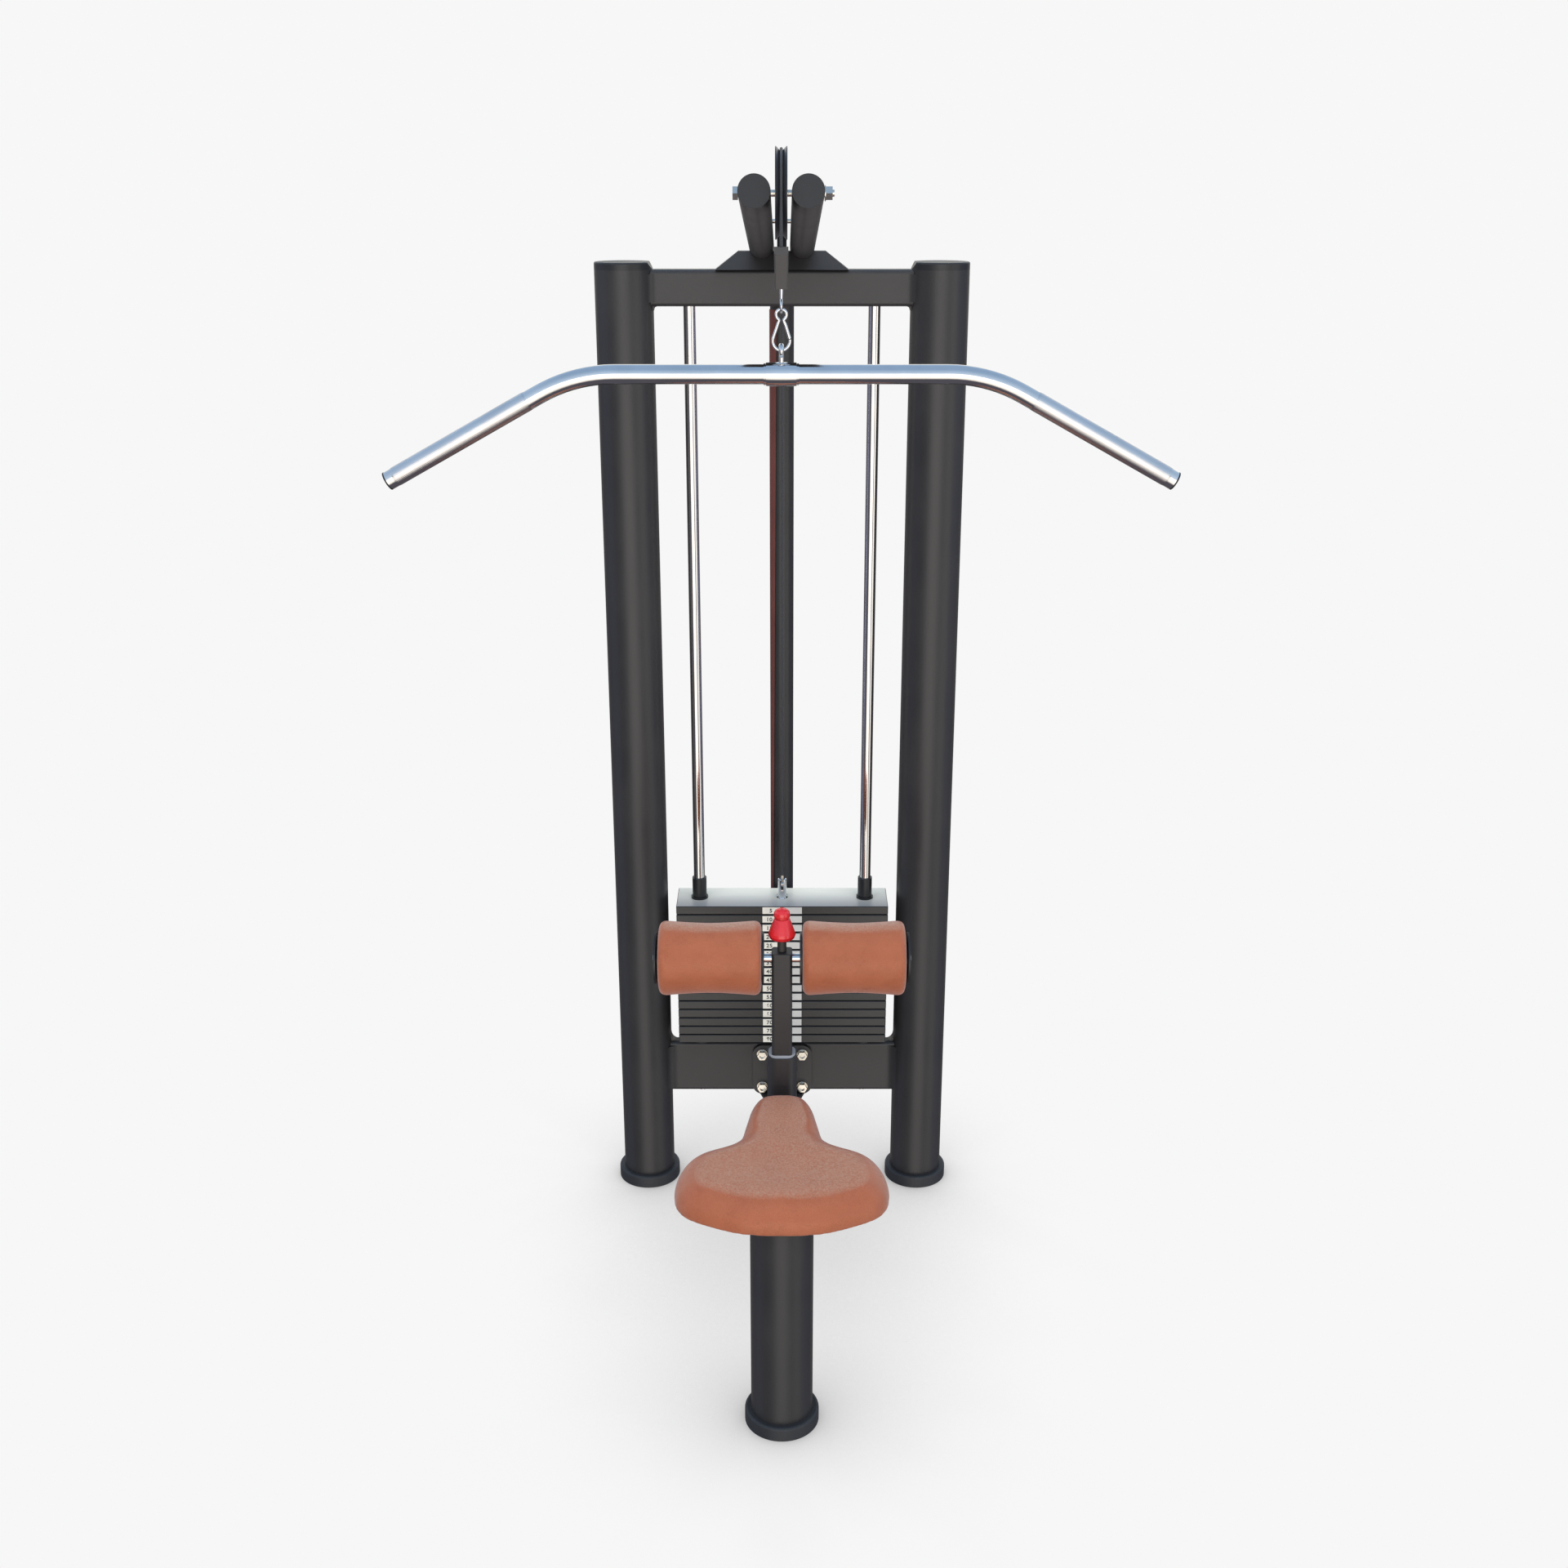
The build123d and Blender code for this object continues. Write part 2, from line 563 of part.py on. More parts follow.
# ---------------------------------------------------------------- weight stack
def plate_z(index):
    """Lower and upper face of plate number index, counted from the top, from 0."""
    top = STACK_TOP - index * PLATE_PITCH
    return top - PLATE_THICK, top


def pin_z(index):
    return sum(plate_z(index)) / 2


def weight_plate(index):
    """Steel plate with rod holes, a stem bore, spacing bosses below and a pin hole in front."""
    z = plate_z(index)
    slab = block(around(0, PLATE_WIDTH / 2), around(UPRIGHT_Y, PLATE_DEPTH / 2), z)
    slab = chamfer(slab.edges(), PLATE_EDGE)
    reach = (z[1] - PLATE_PITCH, z[1])
    for x in (-ROD_X, ROD_X):
        slab += rod_z(BOSS_R, (reach[0], z[0] + OVER), x, UPRIGHT_Y)
        slab -= rod_z(ROD_R + OVER, reach, x, UPRIGHT_Y)
    if index == 0:
        return slab - rod_z(STEM_R, reach, 0, UPRIGHT_Y)
    slab -= rod_z(STEM_BORE_R, reach, 0, UPRIGHT_Y)
    return slab - rod_y(PIN_HOLE_R, (FRONT_FACE, UPRIGHT_Y), 0, pin_z(index))


def plate_label(index):
    """Metal number plate on the front of a weight plate."""
    width, height = LABEL_SIZE
    z = pin_z(index)
    y = (FRONT_FACE - LABEL_THICK, FRONT_FACE)
    label = block(around(0, width / 2), y, around(z, height / 2))
    return label - rod_y(PIN_HOLE_R, y, 0, z)


def selector_stem():
    """Hanging bar inside the stack with one cross hole for each plate."""
    stem = rod_z(STEM_R, (STACK_BOTTOM + STEM_FOOT, STACK_TOP), 0, UPRIGHT_Y)
    for index in range(1, PLATE_COUNT):
        stem -= rod_y(PIN_R + FIT, around(UPRIGHT_Y, STEM_R), 0, pin_z(index))
    return stem


def rod_collar(x):
    """Guide bushing that stands on the top plate around a rod."""
    height = (STACK_TOP, STACK_TOP + COLLAR_HEIGHT)
    collar = rod_z(COLLAR_R, height, x, UPRIGHT_Y)
    collar += rod_z(COLLAR_LIP[0], (STACK_TOP, STACK_TOP + COLLAR_LIP[1]), x, UPRIGHT_Y)
    return collar - rod_z(ROD_R + FIT, height, x, UPRIGHT_Y)


def clevis():
    """Round chrome terminal screwed on the stem, slotted across its domed top."""
    foot_z = STACK_TOP + CLEVIS_NECK[1]
    top = STACK_TOP + CLEVIS_HEIGHT
    barrel = rod_z(CLEVIS_R, (foot_z, top), 0, UPRIGHT_Y)
    barrel = fillet(barrel.edges().group_by(Axis.Z)[-1], CLEVIS_ROUND)
    barrel += rod_z(CLEVIS_NECK[0], (STACK_TOP, foot_z), 0, UPRIGHT_Y)
    barrel += rod_z(CLEVIS_RING[0], (foot_z, foot_z + CLEVIS_RING[1]), 0, UPRIGHT_Y)
    half, depth = CLEVIS_SLOT
    barrel -= block((-half, half), around(UPRIGHT_Y, CLEVIS_R), (top - depth, top + OVER))
    return barrel - rod_x(CLEVIS_PIN_R, (-CLEVIS_R, CLEVIS_R), UPRIGHT_Y, CLEVIS_PIN_Z)


def clevis_pin():
    """Cross pin in the terminal with the flat eye and ferrule of the cable end."""
    length = math.sqrt(CLEVIS_R**2 - CLEVIS_PIN_R**2)
    pin = rod_x(CLEVIS_PIN_R, (-length, length), UPRIGHT_Y, CLEVIS_PIN_Z)
    eye = rod_x(CABLE_EYE_R, (-CABLE_EYE_HALF, CABLE_EYE_HALF), UPRIGHT_Y, CLEVIS_PIN_Z)
    ferrule = rod_z(CABLE_EYE_HALF - CABLE_GAP, (CLEVIS_PIN_Z, STACK_TOP + CLEVIS_HEIGHT), 0, UPRIGHT_Y)
    ferrule += rod_z(FERRULE_R, (STACK_TOP + CLEVIS_HEIGHT, CABLE_END_Z), 0, UPRIGHT_Y)
    return pin + eye + ferrule


def selector_pin():
    z = pin_z(LIFTED_COUNT - 1)
    return rod_y(PIN_R, (FRONT_FACE - PIN_START, UPRIGHT_Y + STEM_R + OVER), 0, z)


def selector_grip():
    """Ball-nosed grip on the selector pin."""
    z = pin_z(LIFTED_COUNT - 1)
    grip = rod_y(PIN_GRIP_R, (FRONT_FACE - PIN_GRIP_Y[0], FRONT_FACE - PIN_GRIP_Y[1]), 0, z)
    grip = fillet(grip.edges().group_by(Axis.Y)[0], PIN_GRIP_ROUND)
    return grip - rod_y(PIN_R, (FRONT_FACE - PIN_START, FRONT_FACE), 0, z)


def make_weight_stack():
    lifted = range(1, LIFTED_COUNT)
    resting = range(LIFTED_COUNT, PLATE_COUNT)
    save("stack_top_plate", weight_plate(0))
    save("lifted_weight_plates", *[weight_plate(index) for index in lifted])
    save("lower_weight_plates", *[weight_plate(index) for index in resting])
    save("lifted_plate_labels", *[plate_label(index) for index in range(LIFTED_COUNT)])
    save("lower_plate_labels", *[plate_label(index) for index in resting])
    save("selector_stem", selector_stem())
    save("rod_collars", rod_collar(-ROD_X), rod_collar(ROD_X))
    save("stem_clevis", clevis())
    save("clevis_pin", clevis_pin())
    save("selector_pin", selector_pin())
    save("selector_grip", selector_grip())


# ---------------------------------------------------------------- steel cable
def rope_arc(centre, first, last):
    """Cable laid on a pulley between two angles, seen from +X with +Y at zero."""
    return CenterArc(centre, ROPE_R, first, last - first)


def cable_over_pulleys():
    """The stretch from the back of the rear pulley to the front of the front one."""
    run = (REAR_PULLEY[0] - FRONT_PULLEY[0], FRONT_PULLEY[1] - REAR_PULLEY[1])
    normal = 90 - math.degrees(math.atan2(run[1], run[0]))
    rear = rope_arc(REAR_PULLEY, 0, normal)
    front = rope_arc(FRONT_PULLEY, normal, 180)
    path = Plane.YZ * Wire([rear, Line(rear @ 1, front @ 0), front])
    return sweep(Plane(origin=path @ 0, z_dir=path % 0) * Circle(CABLE_R), path)


def make_cable():
    save("cable_over_pulleys", cable_over_pulleys())
    save("cable_stack_run", rod_z(CABLE_R, (CABLE_END_Z, REAR_PULLEY[1]), 0, UPRIGHT_Y))
    save("cable_bar_run", rod_z(CABLE_R, (STOP_Z[1], FRONT_PULLEY[1]), 0, BAR_Y))


# ---------------------------------------------------------------- cable end and bar
def cable_stop():
    """Rubber buffer that meets the arms, tapered, its front top edge cut back."""
    foot_face = Pos(0, BAR_Y, STOP_Z[0]) * RectangleRounded(*STOP_FOOT, STOP_ROUND)
    top_face = Pos(0, BAR_Y, STOP_Z[1]) * RectangleRounded(*STOP_SIZE, STOP_ROUND)
    body = loft([foot_face, top_face])
    edge = BAR_Y - STOP_SIZE[1] / 2 - OVER
    high = STOP_Z[1] + OVER
    bevel = [(edge, high), (edge + STOP_BEVEL, high), (edge, high - STOP_BEVEL)]
    body -= prism_x(bevel, (-STOP_SIZE[0], STOP_SIZE[0]))
    return body - rod_z(SWIVEL_R + FIT, (STOP_Z[0], STOP_Z[0] + SWIVEL_DEPTH + OVER), 0, BAR_Y)


def cable_eye():
    """Swivel ring on a tapered shank that turns in the foot of the cable stop."""
    ring = Pos(0, BAR_Y, EYE_Z) * Rot(0, 90, 0) * Torus(EYE_R, EYE_WIRE_R)
    low = EYE_Z + EYE_R
    foot_z = STOP_Z[0]
    shank = [(0, low), (EYE_WIRE_R + CABLE_GAP, low), (EYE_SHANK_R, foot_z - CABLE_GAP)]
    shank += [(EYE_SHANK_R, foot_z + CABLE_GAP), (SWIVEL_R, foot_z + CABLE_GAP)]
    shank += [(SWIVEL_R, foot_z + SWIVEL_DEPTH), (0, foot_z + SWIVEL_DEPTH)]
    return ring + spun_z(shank, 0, BAR_Y, 0)


def hook_neck():
    """Where the eyelet's end tangent meets the side run, at x > 0."""
    turn = math.radians(HOOK_NECK)
    end = (HOOK_TOP_R * math.cos(turn), HOOK_TOP_Z - HOOK_TOP_R * math.sin(turn))
    return end, (end[0] - HOOK_NECK_STEP * math.sin(turn), end[1] - HOOK_NECK_STEP * math.cos(turn))


def hook_start():
    """Flat end of the carabiner wire, just above the gate hinge."""
    neck = hook_neck()[1]
    run = (neck[0] - GATE_HINGE[0], neck[1] - GATE_HINGE[1])
    part = (GATE_R + GATE_GAP) / math.hypot(*run)
    return GATE_HINGE[0] + run[0] * part, GATE_HINGE[1] + run[1] * part


def hook_tongue():
    """Flat tongue on the wire end with the rivet the gate turns on."""
    x, z = hook_start()
    reach = math.hypot(x - GATE_HINGE[0], z - GATE_HINGE[1]) + OVER
    run = (x - GATE_HINGE[0], 0, z - GATE_HINGE[1])
    base = Plane(origin=(GATE_HINGE[0], BAR_Y, GATE_HINGE[1]), z_dir=run)
    round_bar = base * Pos(0, 0, reach / 2) * Cylinder(TONGUE_R, reach)
    flat = block(around(0, HOOK_LOW_R), around(BAR_Y, TONGUE_HALF), (GATE_NOSE[1], HOOK_TOP_Z))
    tip = rod_y(TONGUE_R, around(BAR_Y, TONGUE_HALF), *GATE_HINGE)
    return (round_bar & flat) + tip + rod_y(RIVET_R, around(BAR_Y, GATE_R), *GATE_HINGE)


def carabiner_hook():
    """Bent wire: gate rivet, small eyelet on top, long left side and wide lower bow."""
    end, neck = hook_neck()
    low = CenterArc((0, HOOK_LOW_Z), HOOK_LOW_R, *HOOK_BOW)
    left_low = low @ 0
    right_side = FilletPolyline(hook_start(), neck, end, radius=HOOK_BEND_R)
    top = CenterArc((0, HOOK_TOP_Z), HOOK_TOP_R, -HOOK_NECK, 180 + 2 * HOOK_NECK)
    left_points = [(-end[0], end[1]), (-neck[0], neck[1]), (left_low.X, left_low.Y)]
    left_side = FilletPolyline(*left_points, radius=HOOK_BEND_R)
    edges = [*right_side.edges(), top, *left_side.edges(), low]
    wire = Plane.XZ.offset(-BAR_Y) * Wire(edges)
    section = Plane(origin=wire @ 0, z_dir=wire % 0) * Circle(HOOK_WIRE_R)
    return sweep(section, wire, transition=Transition.ROUND) + hook_tongue()


def carabiner_gate():
    """Sprung gate bar, slotted and riveted to the wire end at its top."""
    run = (GATE_NOSE[0] - GATE_HINGE[0], GATE_NOSE[1] - GATE_HINGE[1])
    length = math.hypot(*run) - GATE_GAP
    base = Plane(origin=(GATE_HINGE[0], BAR_Y, GATE_HINGE[1]), x_dir=(0, 1, 0), z_dir=(run[0], 0, run[1]))
    bar = base * Pos(0, 0, length / 2) * Cylinder(GATE_R, length)
    head = base * Pos(0, 0, -GATE_R / 2) * Cylinder(GATE_R, GATE_R)
    bar += head & rod_y(GATE_R, around(BAR_Y, GATE_R), *GATE_HINGE)
    half, depth = GATE_SLOT
    slot_length = GATE_R + OVER + depth
    slot = base * Pos(0, 0, depth - slot_length / 2) * Box(2 * half, 2 * GATE_R + OVER, slot_length)
    return bar - slot - rod_y(RIVET_R + FIT, around(BAR_Y, GATE_R), *GATE_HINGE)


def sleeve_barrel():
    """Barrel-shaped centre sleeve, bored for the bar."""
    middle = (0, SLEEVE_R)
    ends = [(-SLEEVE_HALF, SLEEVE_END_R), (SLEEVE_HALF, SLEEVE_END_R)]
    bore = BAR_R + FIT
    lines = [ThreePointArc(ends[0], middle, ends[1]), Line(ends[1], (SLEEVE_HALF, bore))]
    lines += [Line((SLEEVE_HALF, bore), (-SLEEVE_HALF, bore)), Line((-SLEEVE_HALF, bore), ends[0])]
    return Pos(0, BAR_Y, BAR_Z) * revolve(Plane.XZ * make_face(lines), Axis.X)


def bar_hanger():
    """Centre sleeve around the bar, with a ring on top for the carabiner."""
    neck = rod_z(HANGER_WIRE_R, (BAR_Z, HANGER_Z - HANGER_RING_R), 0, BAR_Y)
    neck -= rod_x(BAR_R + FIT, (-SLEEVE_HALF, SLEEVE_HALF), BAR_Y, BAR_Z)
    ring = Pos(0, BAR_Y, HANGER_Z) * Rot(0, 90, 0) * Torus(HANGER_RING_R, HANGER_WIRE_R)
    return sleeve_barrel() + neck + ring


def lat_bar():
    """Bent steel tube with two sloped ends."""
    end_z = BAR_Z - BAR_DROP
    points = [(-BAR_HALF, end_z), (-BAR_CORNER_X, BAR_Z), (BAR_CORNER_X, BAR_Z), (BAR_HALF, end_z)]
    path = Plane.XZ.offset(-BAR_Y) * FilletPolyline(*points, radius=BAR_BEND_R)
    start = Plane(origin=path @ 0, z_dir=path % 0)
    return sweep(start * (Circle(BAR_R) - Circle(BAR_R - BAR_WALL)), path)


def bar_end_cap():
    """Plug with a thin rim on an end of the bar."""
    slope = math.atan2(BAR_DROP, BAR_HALF - BAR_CORNER_X)
    end = Plane(origin=(BAR_HALF, BAR_Y, BAR_Z - BAR_DROP), z_dir=(math.cos(slope), 0, -math.sin(slope)))
    rim = Pos(0, 0, BAR_CAP_RIM / 2) * Cylinder(BAR_R, BAR_CAP_RIM)
    plug = Pos(0, 0, -BAR_CAP_PLUG / 2) * Cylinder(BAR_R - BAR_WALL, BAR_CAP_PLUG)
    return end * (rim + plug)


def bar_clip(side):
    """Thin ring on the bar beside the sleeve that keeps the sleeve in the middle."""
    near = SLEEVE_HALF + CLIP_GAP
    x = sorted((side * near, side * (near + CLIP_WIDTH)))
    return rod_x(BAR_R + CLIP_THICK, x, BAR_Y, BAR_Z) - rod_x(BAR_R, x, BAR_Y, BAR_Z)


def make_bar():
    save("cable_stop", cable_stop())
    save("cable_eye", cable_eye())
    save("carabiner_hook", carabiner_hook())
    save("carabiner_gate", carabiner_gate())
    save("bar_hanger", bar_hanger())
    save("lat_bar", lat_bar())
    save("bar_end_caps", *both_sides(bar_end_cap))
    save("bar_retaining_rings", bar_clip(-1), bar_clip(1))


# ---------------------------------------------------------------- base rail and seat
def bolt_places():
    half = (BOLT_SPACING[0] / 2, BOLT_SPACING[1] / 2)
    return [(x, RAIL_Z + z) for x in (-half[0], half[0]) for z in (-half[1], half[1])]


def mount_flange():
    """Bolted plate on the lower beam with a gusset under the rail."""
    front = Plane(origin=(0, FLANGE_FRONT, RAIL_Z), x_dir=(1, 0, 0), z_dir=(0, 1, 0))
    plate = extrude(front * RectangleRounded(*FLANGE_SIZE, FLANGE_ROUND), FLANGE_THICK)
    for x, z in bolt_places():
        plate -= rod_y(BOLT_R, (FLANGE_FRONT - OVER, FLANGE_BACK + OVER), x, z)
    tip = FLANGE_FRONT - GUSSET_REACH
    outline = [(-GUSSET_HALF[0], FLANGE_FRONT), (GUSSET_HALF[0], FLANGE_FRONT)]
    outline += [(GUSSET_HALF[1], tip), (-GUSSET_HALF[1], tip)]
    gusset = prism_z(outline, (FLANGE_BOTTOM, FLANGE_BOTTOM + GUSSET_THICK))
    web = block(around(0, WEB_THICK / 2), (tip, FLANGE_FRONT), (FLANGE_BOTTOM, RAIL_Z))
    return plate + gusset + web - rod_y(RAIL_R, (tip - OVER, FLANGE_FRONT), 0, RAIL_Z)


def flange_bolt(x, z):
    """Bolt through the beam and the flange, its head behind the beam."""
    back = UPRIGHT_Y + LOW_BEAM_DEPTH / 2
    shank = rod_y(BOLT_R, (FLANGE_FRONT - BOLT_END, back), x, z)
    return shank + hexagon_y(BOLT_HEXAGON, (back, back + BOLT_HEAD), x, z)


def flange_nut(x, z):
    radius, thick = BOLT_WASHER
    washer = rod_y(radius, (FLANGE_FRONT - thick, FLANGE_FRONT), x, z)
    nut = hexagon_y(BOLT_HEXAGON, (FLANGE_FRONT - NUT_FACE, FLANGE_FRONT - thick), x, z)
    return washer + nut - rod_y(BOLT_R, (FLANGE_FRONT - NUT_FACE - OVER, FLANGE_FRONT), x, z)


def base_rail():
    """Round tube from the flange to the front post, coped to the post."""
    reach = (FRONT_POST_Y, FLANGE_FRONT)
    tube = rod_y(RAIL_R, reach, 0, RAIL_Z) - rod_y(RAIL_R - RAIL_WALL, reach, 0, RAIL_Z)
    return tube - rod_z(BIG_TUBE_R, (0, FRONT_POST_TOP), 0, FRONT_POST_Y)


def roller_socket():
    """Vertical sleeve welded on the rail, which guides the roller post."""
    height = (RAIL_Z, SOCKET_TOP)
    inside = (SOCKET_SIZE[0] - 2 * SOCKET_WALL, SOCKET_SIZE[1] - 2 * SOCKET_WALL)
    outer = column(SOCKET_SIZE, SOCKET_ROUND, height, 0, ROLLER_Y)
    hollow = column(inside, BUSHING_ROUND, height, 0, ROLLER_Y)
    return outer - hollow - rod_y(RAIL_R, around(ROLLER_Y, SOCKET_SIZE[1]), 0, RAIL_Z)


def socket_bushing():
    """Plastic guide pressed into the socket, with a flange on top."""
    skirt_size = (SOCKET_SIZE[0] - 2 * SOCKET_WALL, SOCKET_SIZE[1] - 2 * SOCKET_WALL)
    rim = column(BUSHING_RIM, BUSHING_ROUND, (SOCKET_TOP, SOCKET_TOP + BUSHING_LIP), 0, ROLLER_Y)
    skirt = column(skirt_size, BUSHING_ROUND, (SOCKET_TOP - BUSHING_DEPTH, SOCKET_TOP), 0, ROLLER_Y)
    window = (POST_SIZE[0] + 2 * FIT, POST_SIZE[1] + 2 * FIT)
    reach = (SOCKET_TOP - BUSHING_DEPTH - OVER, SOCKET_TOP + BUSHING_LIP + OVER)
    return rim + skirt - column(window, POST_ROUND, reach, 0, ROLLER_Y)


def front_post():
    height = (FOOT_FLOOR, FRONT_POST_TOP)
    tube = rod_z(BIG_TUBE_R, height, 0, FRONT_POST_Y)
    return tube - rod_z(BIG_TUBE_R - BIG_TUBE_WALL, height, 0, FRONT_POST_Y)


def seat_plate():
    """Steel plate that closes the front post and carries the seat board."""
    z = (FRONT_POST_TOP, SEAT_BOARD_Z[0])
    ahead = SEAT_PLATE_AHEAD
    plate = block(around(0, SEAT_PLATE_HALF), (UPRIGHT_Y - ahead[0], UPRIGHT_Y - ahead[1]), z)
    plate += rod_z(BIG_TUBE_R, z, 0, FRONT_POST_Y)
    for x, y in SEAT_BOLTS:
        plate -= rod_z(SEAT_BOLT_R, z, x, y)
    return plate


def seat_bolt(x, y):
    radius, height = SEAT_BOLT_HEAD
    head = rod_z(radius, (FRONT_POST_TOP - height, FRONT_POST_TOP), x, y)
    return head + rod_z(SEAT_BOLT_R, (FRONT_POST_TOP, SEAT_BOARD_Z[1] - OVER), x, y)


def seat_outline():
    """Plan of the saddle: a round nose towards the stack and broad front wings."""
    points = [(x, UPRIGHT_Y - ahead) for x, ahead, radius in SEAT_CORNERS]
    right = Polyline((0, UPRIGHT_Y - SEAT_NOSE), *points)
    wing_x, wing_y = points[-1]
    bow = ThreePointArc((wing_x, wing_y), (0, UPRIGHT_Y - SEAT_FRONT), (-wing_x, wing_y))
    face = make_face([right, bow, mirror(right, Plane.YZ)])
    for x, ahead, radius in SEAT_CORNERS:
        y = UPRIGHT_Y - ahead
        corners = [v for v in face.vertices() if math.hypot(abs(v.X) - x, v.Y - y) < OVER]
        face = fillet(corners, radius)
    return face


def seat_pad():
    pad = extrude(Pos(0, 0, SEAT_Z[0]) * seat_outline(), SEAT_Z[1] - SEAT_Z[0])
    pad = fillet(pad.edges().group_by(Axis.Z)[-1], SEAT_TOP_ROUND)
    return fillet(pad.edges().group_by(Axis.Z)[0], SEAT_LOW_ROUND)


def seat_board():
    """Plywood board under the pad, drawn in from the pad's outline."""
    outline = offset(seat_outline(), -BOARD_INSET)
    board = extrude(Pos(0, 0, SEAT_BOARD_Z[0]) * outline, BOARD_THICK)
    for x, y in SEAT_BOLTS:
        board -= rod_z(SEAT_BOLT_R, SEAT_BOARD_Z, x, y)
    return board


def make_seat_and_rail():
    save("mount_flange", mount_flange())
    bolts = [flange_bolt(x, z) for x, z in bolt_places()]
    nuts = [flange_nut(x, z) for x, z in bolt_places()]
    save("flange_bolts_and_nuts", *bolts, *nuts)
    save("base_rail", base_rail())
    save("roller_socket", roller_socket())
    save("socket_bushing", socket_bushing())
    save("front_post", front_post())
    save("seat_plate", seat_plate())
    save("seat_bolts", *[seat_bolt(x, y) for x, y in SEAT_BOLTS])
    save("seat_board", seat_board())
    save("seat_pad", seat_pad())


# ---------------------------------------------------------------- thigh rollers
def roller_post():
    """Rectangular post, bored for the release rod and the two stub axles."""
    post = column(POST_SIZE, POST_ROUND, POST_Z, 0, ROLLER_Y)
    post = fillet(post.edges().group_by(Axis.Z)[-1], POST_TOP_ROUND)
    post -= rod_z(KNOB_ROD_R + FIT, POST_Z, 0, ROLLER_Y)
    return post - rod_x(ROLLER_AXLE_R, (-POST_SIZE[0], POST_SIZE[0]), ROLLER_Y, ROLLER_Z)


def stub_axle():
    return rod_x(ROLLER_AXLE_R, (AXLE_INNER, ROLLER_NUT_X[0]), ROLLER_Y, ROLLER_Z)


def axle_cap_nut():
    return hexagon_x(ROLLER_NUT_HEXAGON, ROLLER_NUT_X, ROLLER_Y, ROLLER_Z)


def roller_spool():
    """Tube with an end disc at both ends, turning on the stub axle."""
    reach = (ROLLER_X[0] - DISC_THICK, ROLLER_X[1] + DISC_THICK)
    spool = rod_x(CORE_R, reach, ROLLER_Y, ROLLER_Z)
    for x in (reach[0], ROLLER_X[1]):
        spool += rod_x(DISC_R, (x, x + DISC_THICK), ROLLER_Y, ROLLER_Z)
    return spool - rod_x(ROLLER_AXLE_R + FIT, reach, ROLLER_Y, ROLLER_Z)


def roller_pad():
    """Waisted foam roller with rounded shoulders and a bore for the core."""
    inner, outer = ROLLER_X
    shoulder = ROLLER_SHOULDER
    inset = shoulder * (1 - math.sqrt(0.5))
    side = ROLLER_R - shoulder
    crown = (outer - shoulder, ROLLER_R)
    waist = ((inner + outer) / 2, ROLLER_R - ROLLER_WAIST)
    crest = (inner + shoulder, ROLLER_R)
    lines = [Line((inner, CORE_R), (outer, CORE_R)), Line((outer, CORE_R), (outer, side))]
    lines.append(ThreePointArc((outer, side), (outer - inset, ROLLER_R - inset), crown))
    lines.append(ThreePointArc(crown, waist, crest))
    lines.append(ThreePointArc(crest, (inner + inset, ROLLER_R - inset), (inner, side)))
    lines.append(Line((inner, side), (inner, CORE_R)))
    return Pos(0, ROLLER_Y, ROLLER_Z) * revolve(Plane.XZ * make_face(lines), Axis.X)


def release_knob():
    """Red bell-shaped knob with a small cap over a narrow neck."""
    return spun_z(KNOB_BELL + KNOB_CAP, 0, ROLLER_Y, KNOB_Z)


def release_rod():
    """Plunger rod inside the roller post, with a thinner tail and a collar under the knob."""
    rod = rod_z(KNOB_ROD_R, (KNOB_TAIL_Z[1], POST_Z[1] + OVER), 0, ROLLER_Y)
    rod += rod_z(KNOB_COLLAR_R, (POST_Z[1] + OVER, KNOB_Z), 0, ROLLER_Y)
    return rod + rod_z(KNOB_TAIL_R, KNOB_TAIL_Z, 0, ROLLER_Y)


def make_rollers():
    save("roller_post", roller_post())
    save("roller_axles", *both_sides(stub_axle))
    save("roller_axle_nuts", *both_sides(axle_cap_nut))
    spools = both_sides(roller_spool)
    save("left_roller_spool", spools[0])
    save("right_roller_spool", spools[1])
    pads = both_sides(roller_pad)
    save("left_roller_pad", pads[0])
    save("right_roller_pad", pads[1])
    save("release_knob", release_knob())
    save("release_rod", release_rod())


os.makedirs("parts", exist_ok=True)
make_frame()
make_pulley_arms()
make_weight_stack()
make_cable()
make_bar()
make_seat_and_rail()
make_rollers()
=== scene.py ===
import json
import math

import bmesh
import bpy
import numpy as np
from mathutils import Matrix, Vector
from mathutils.geometry import delaunay_2d_cdt


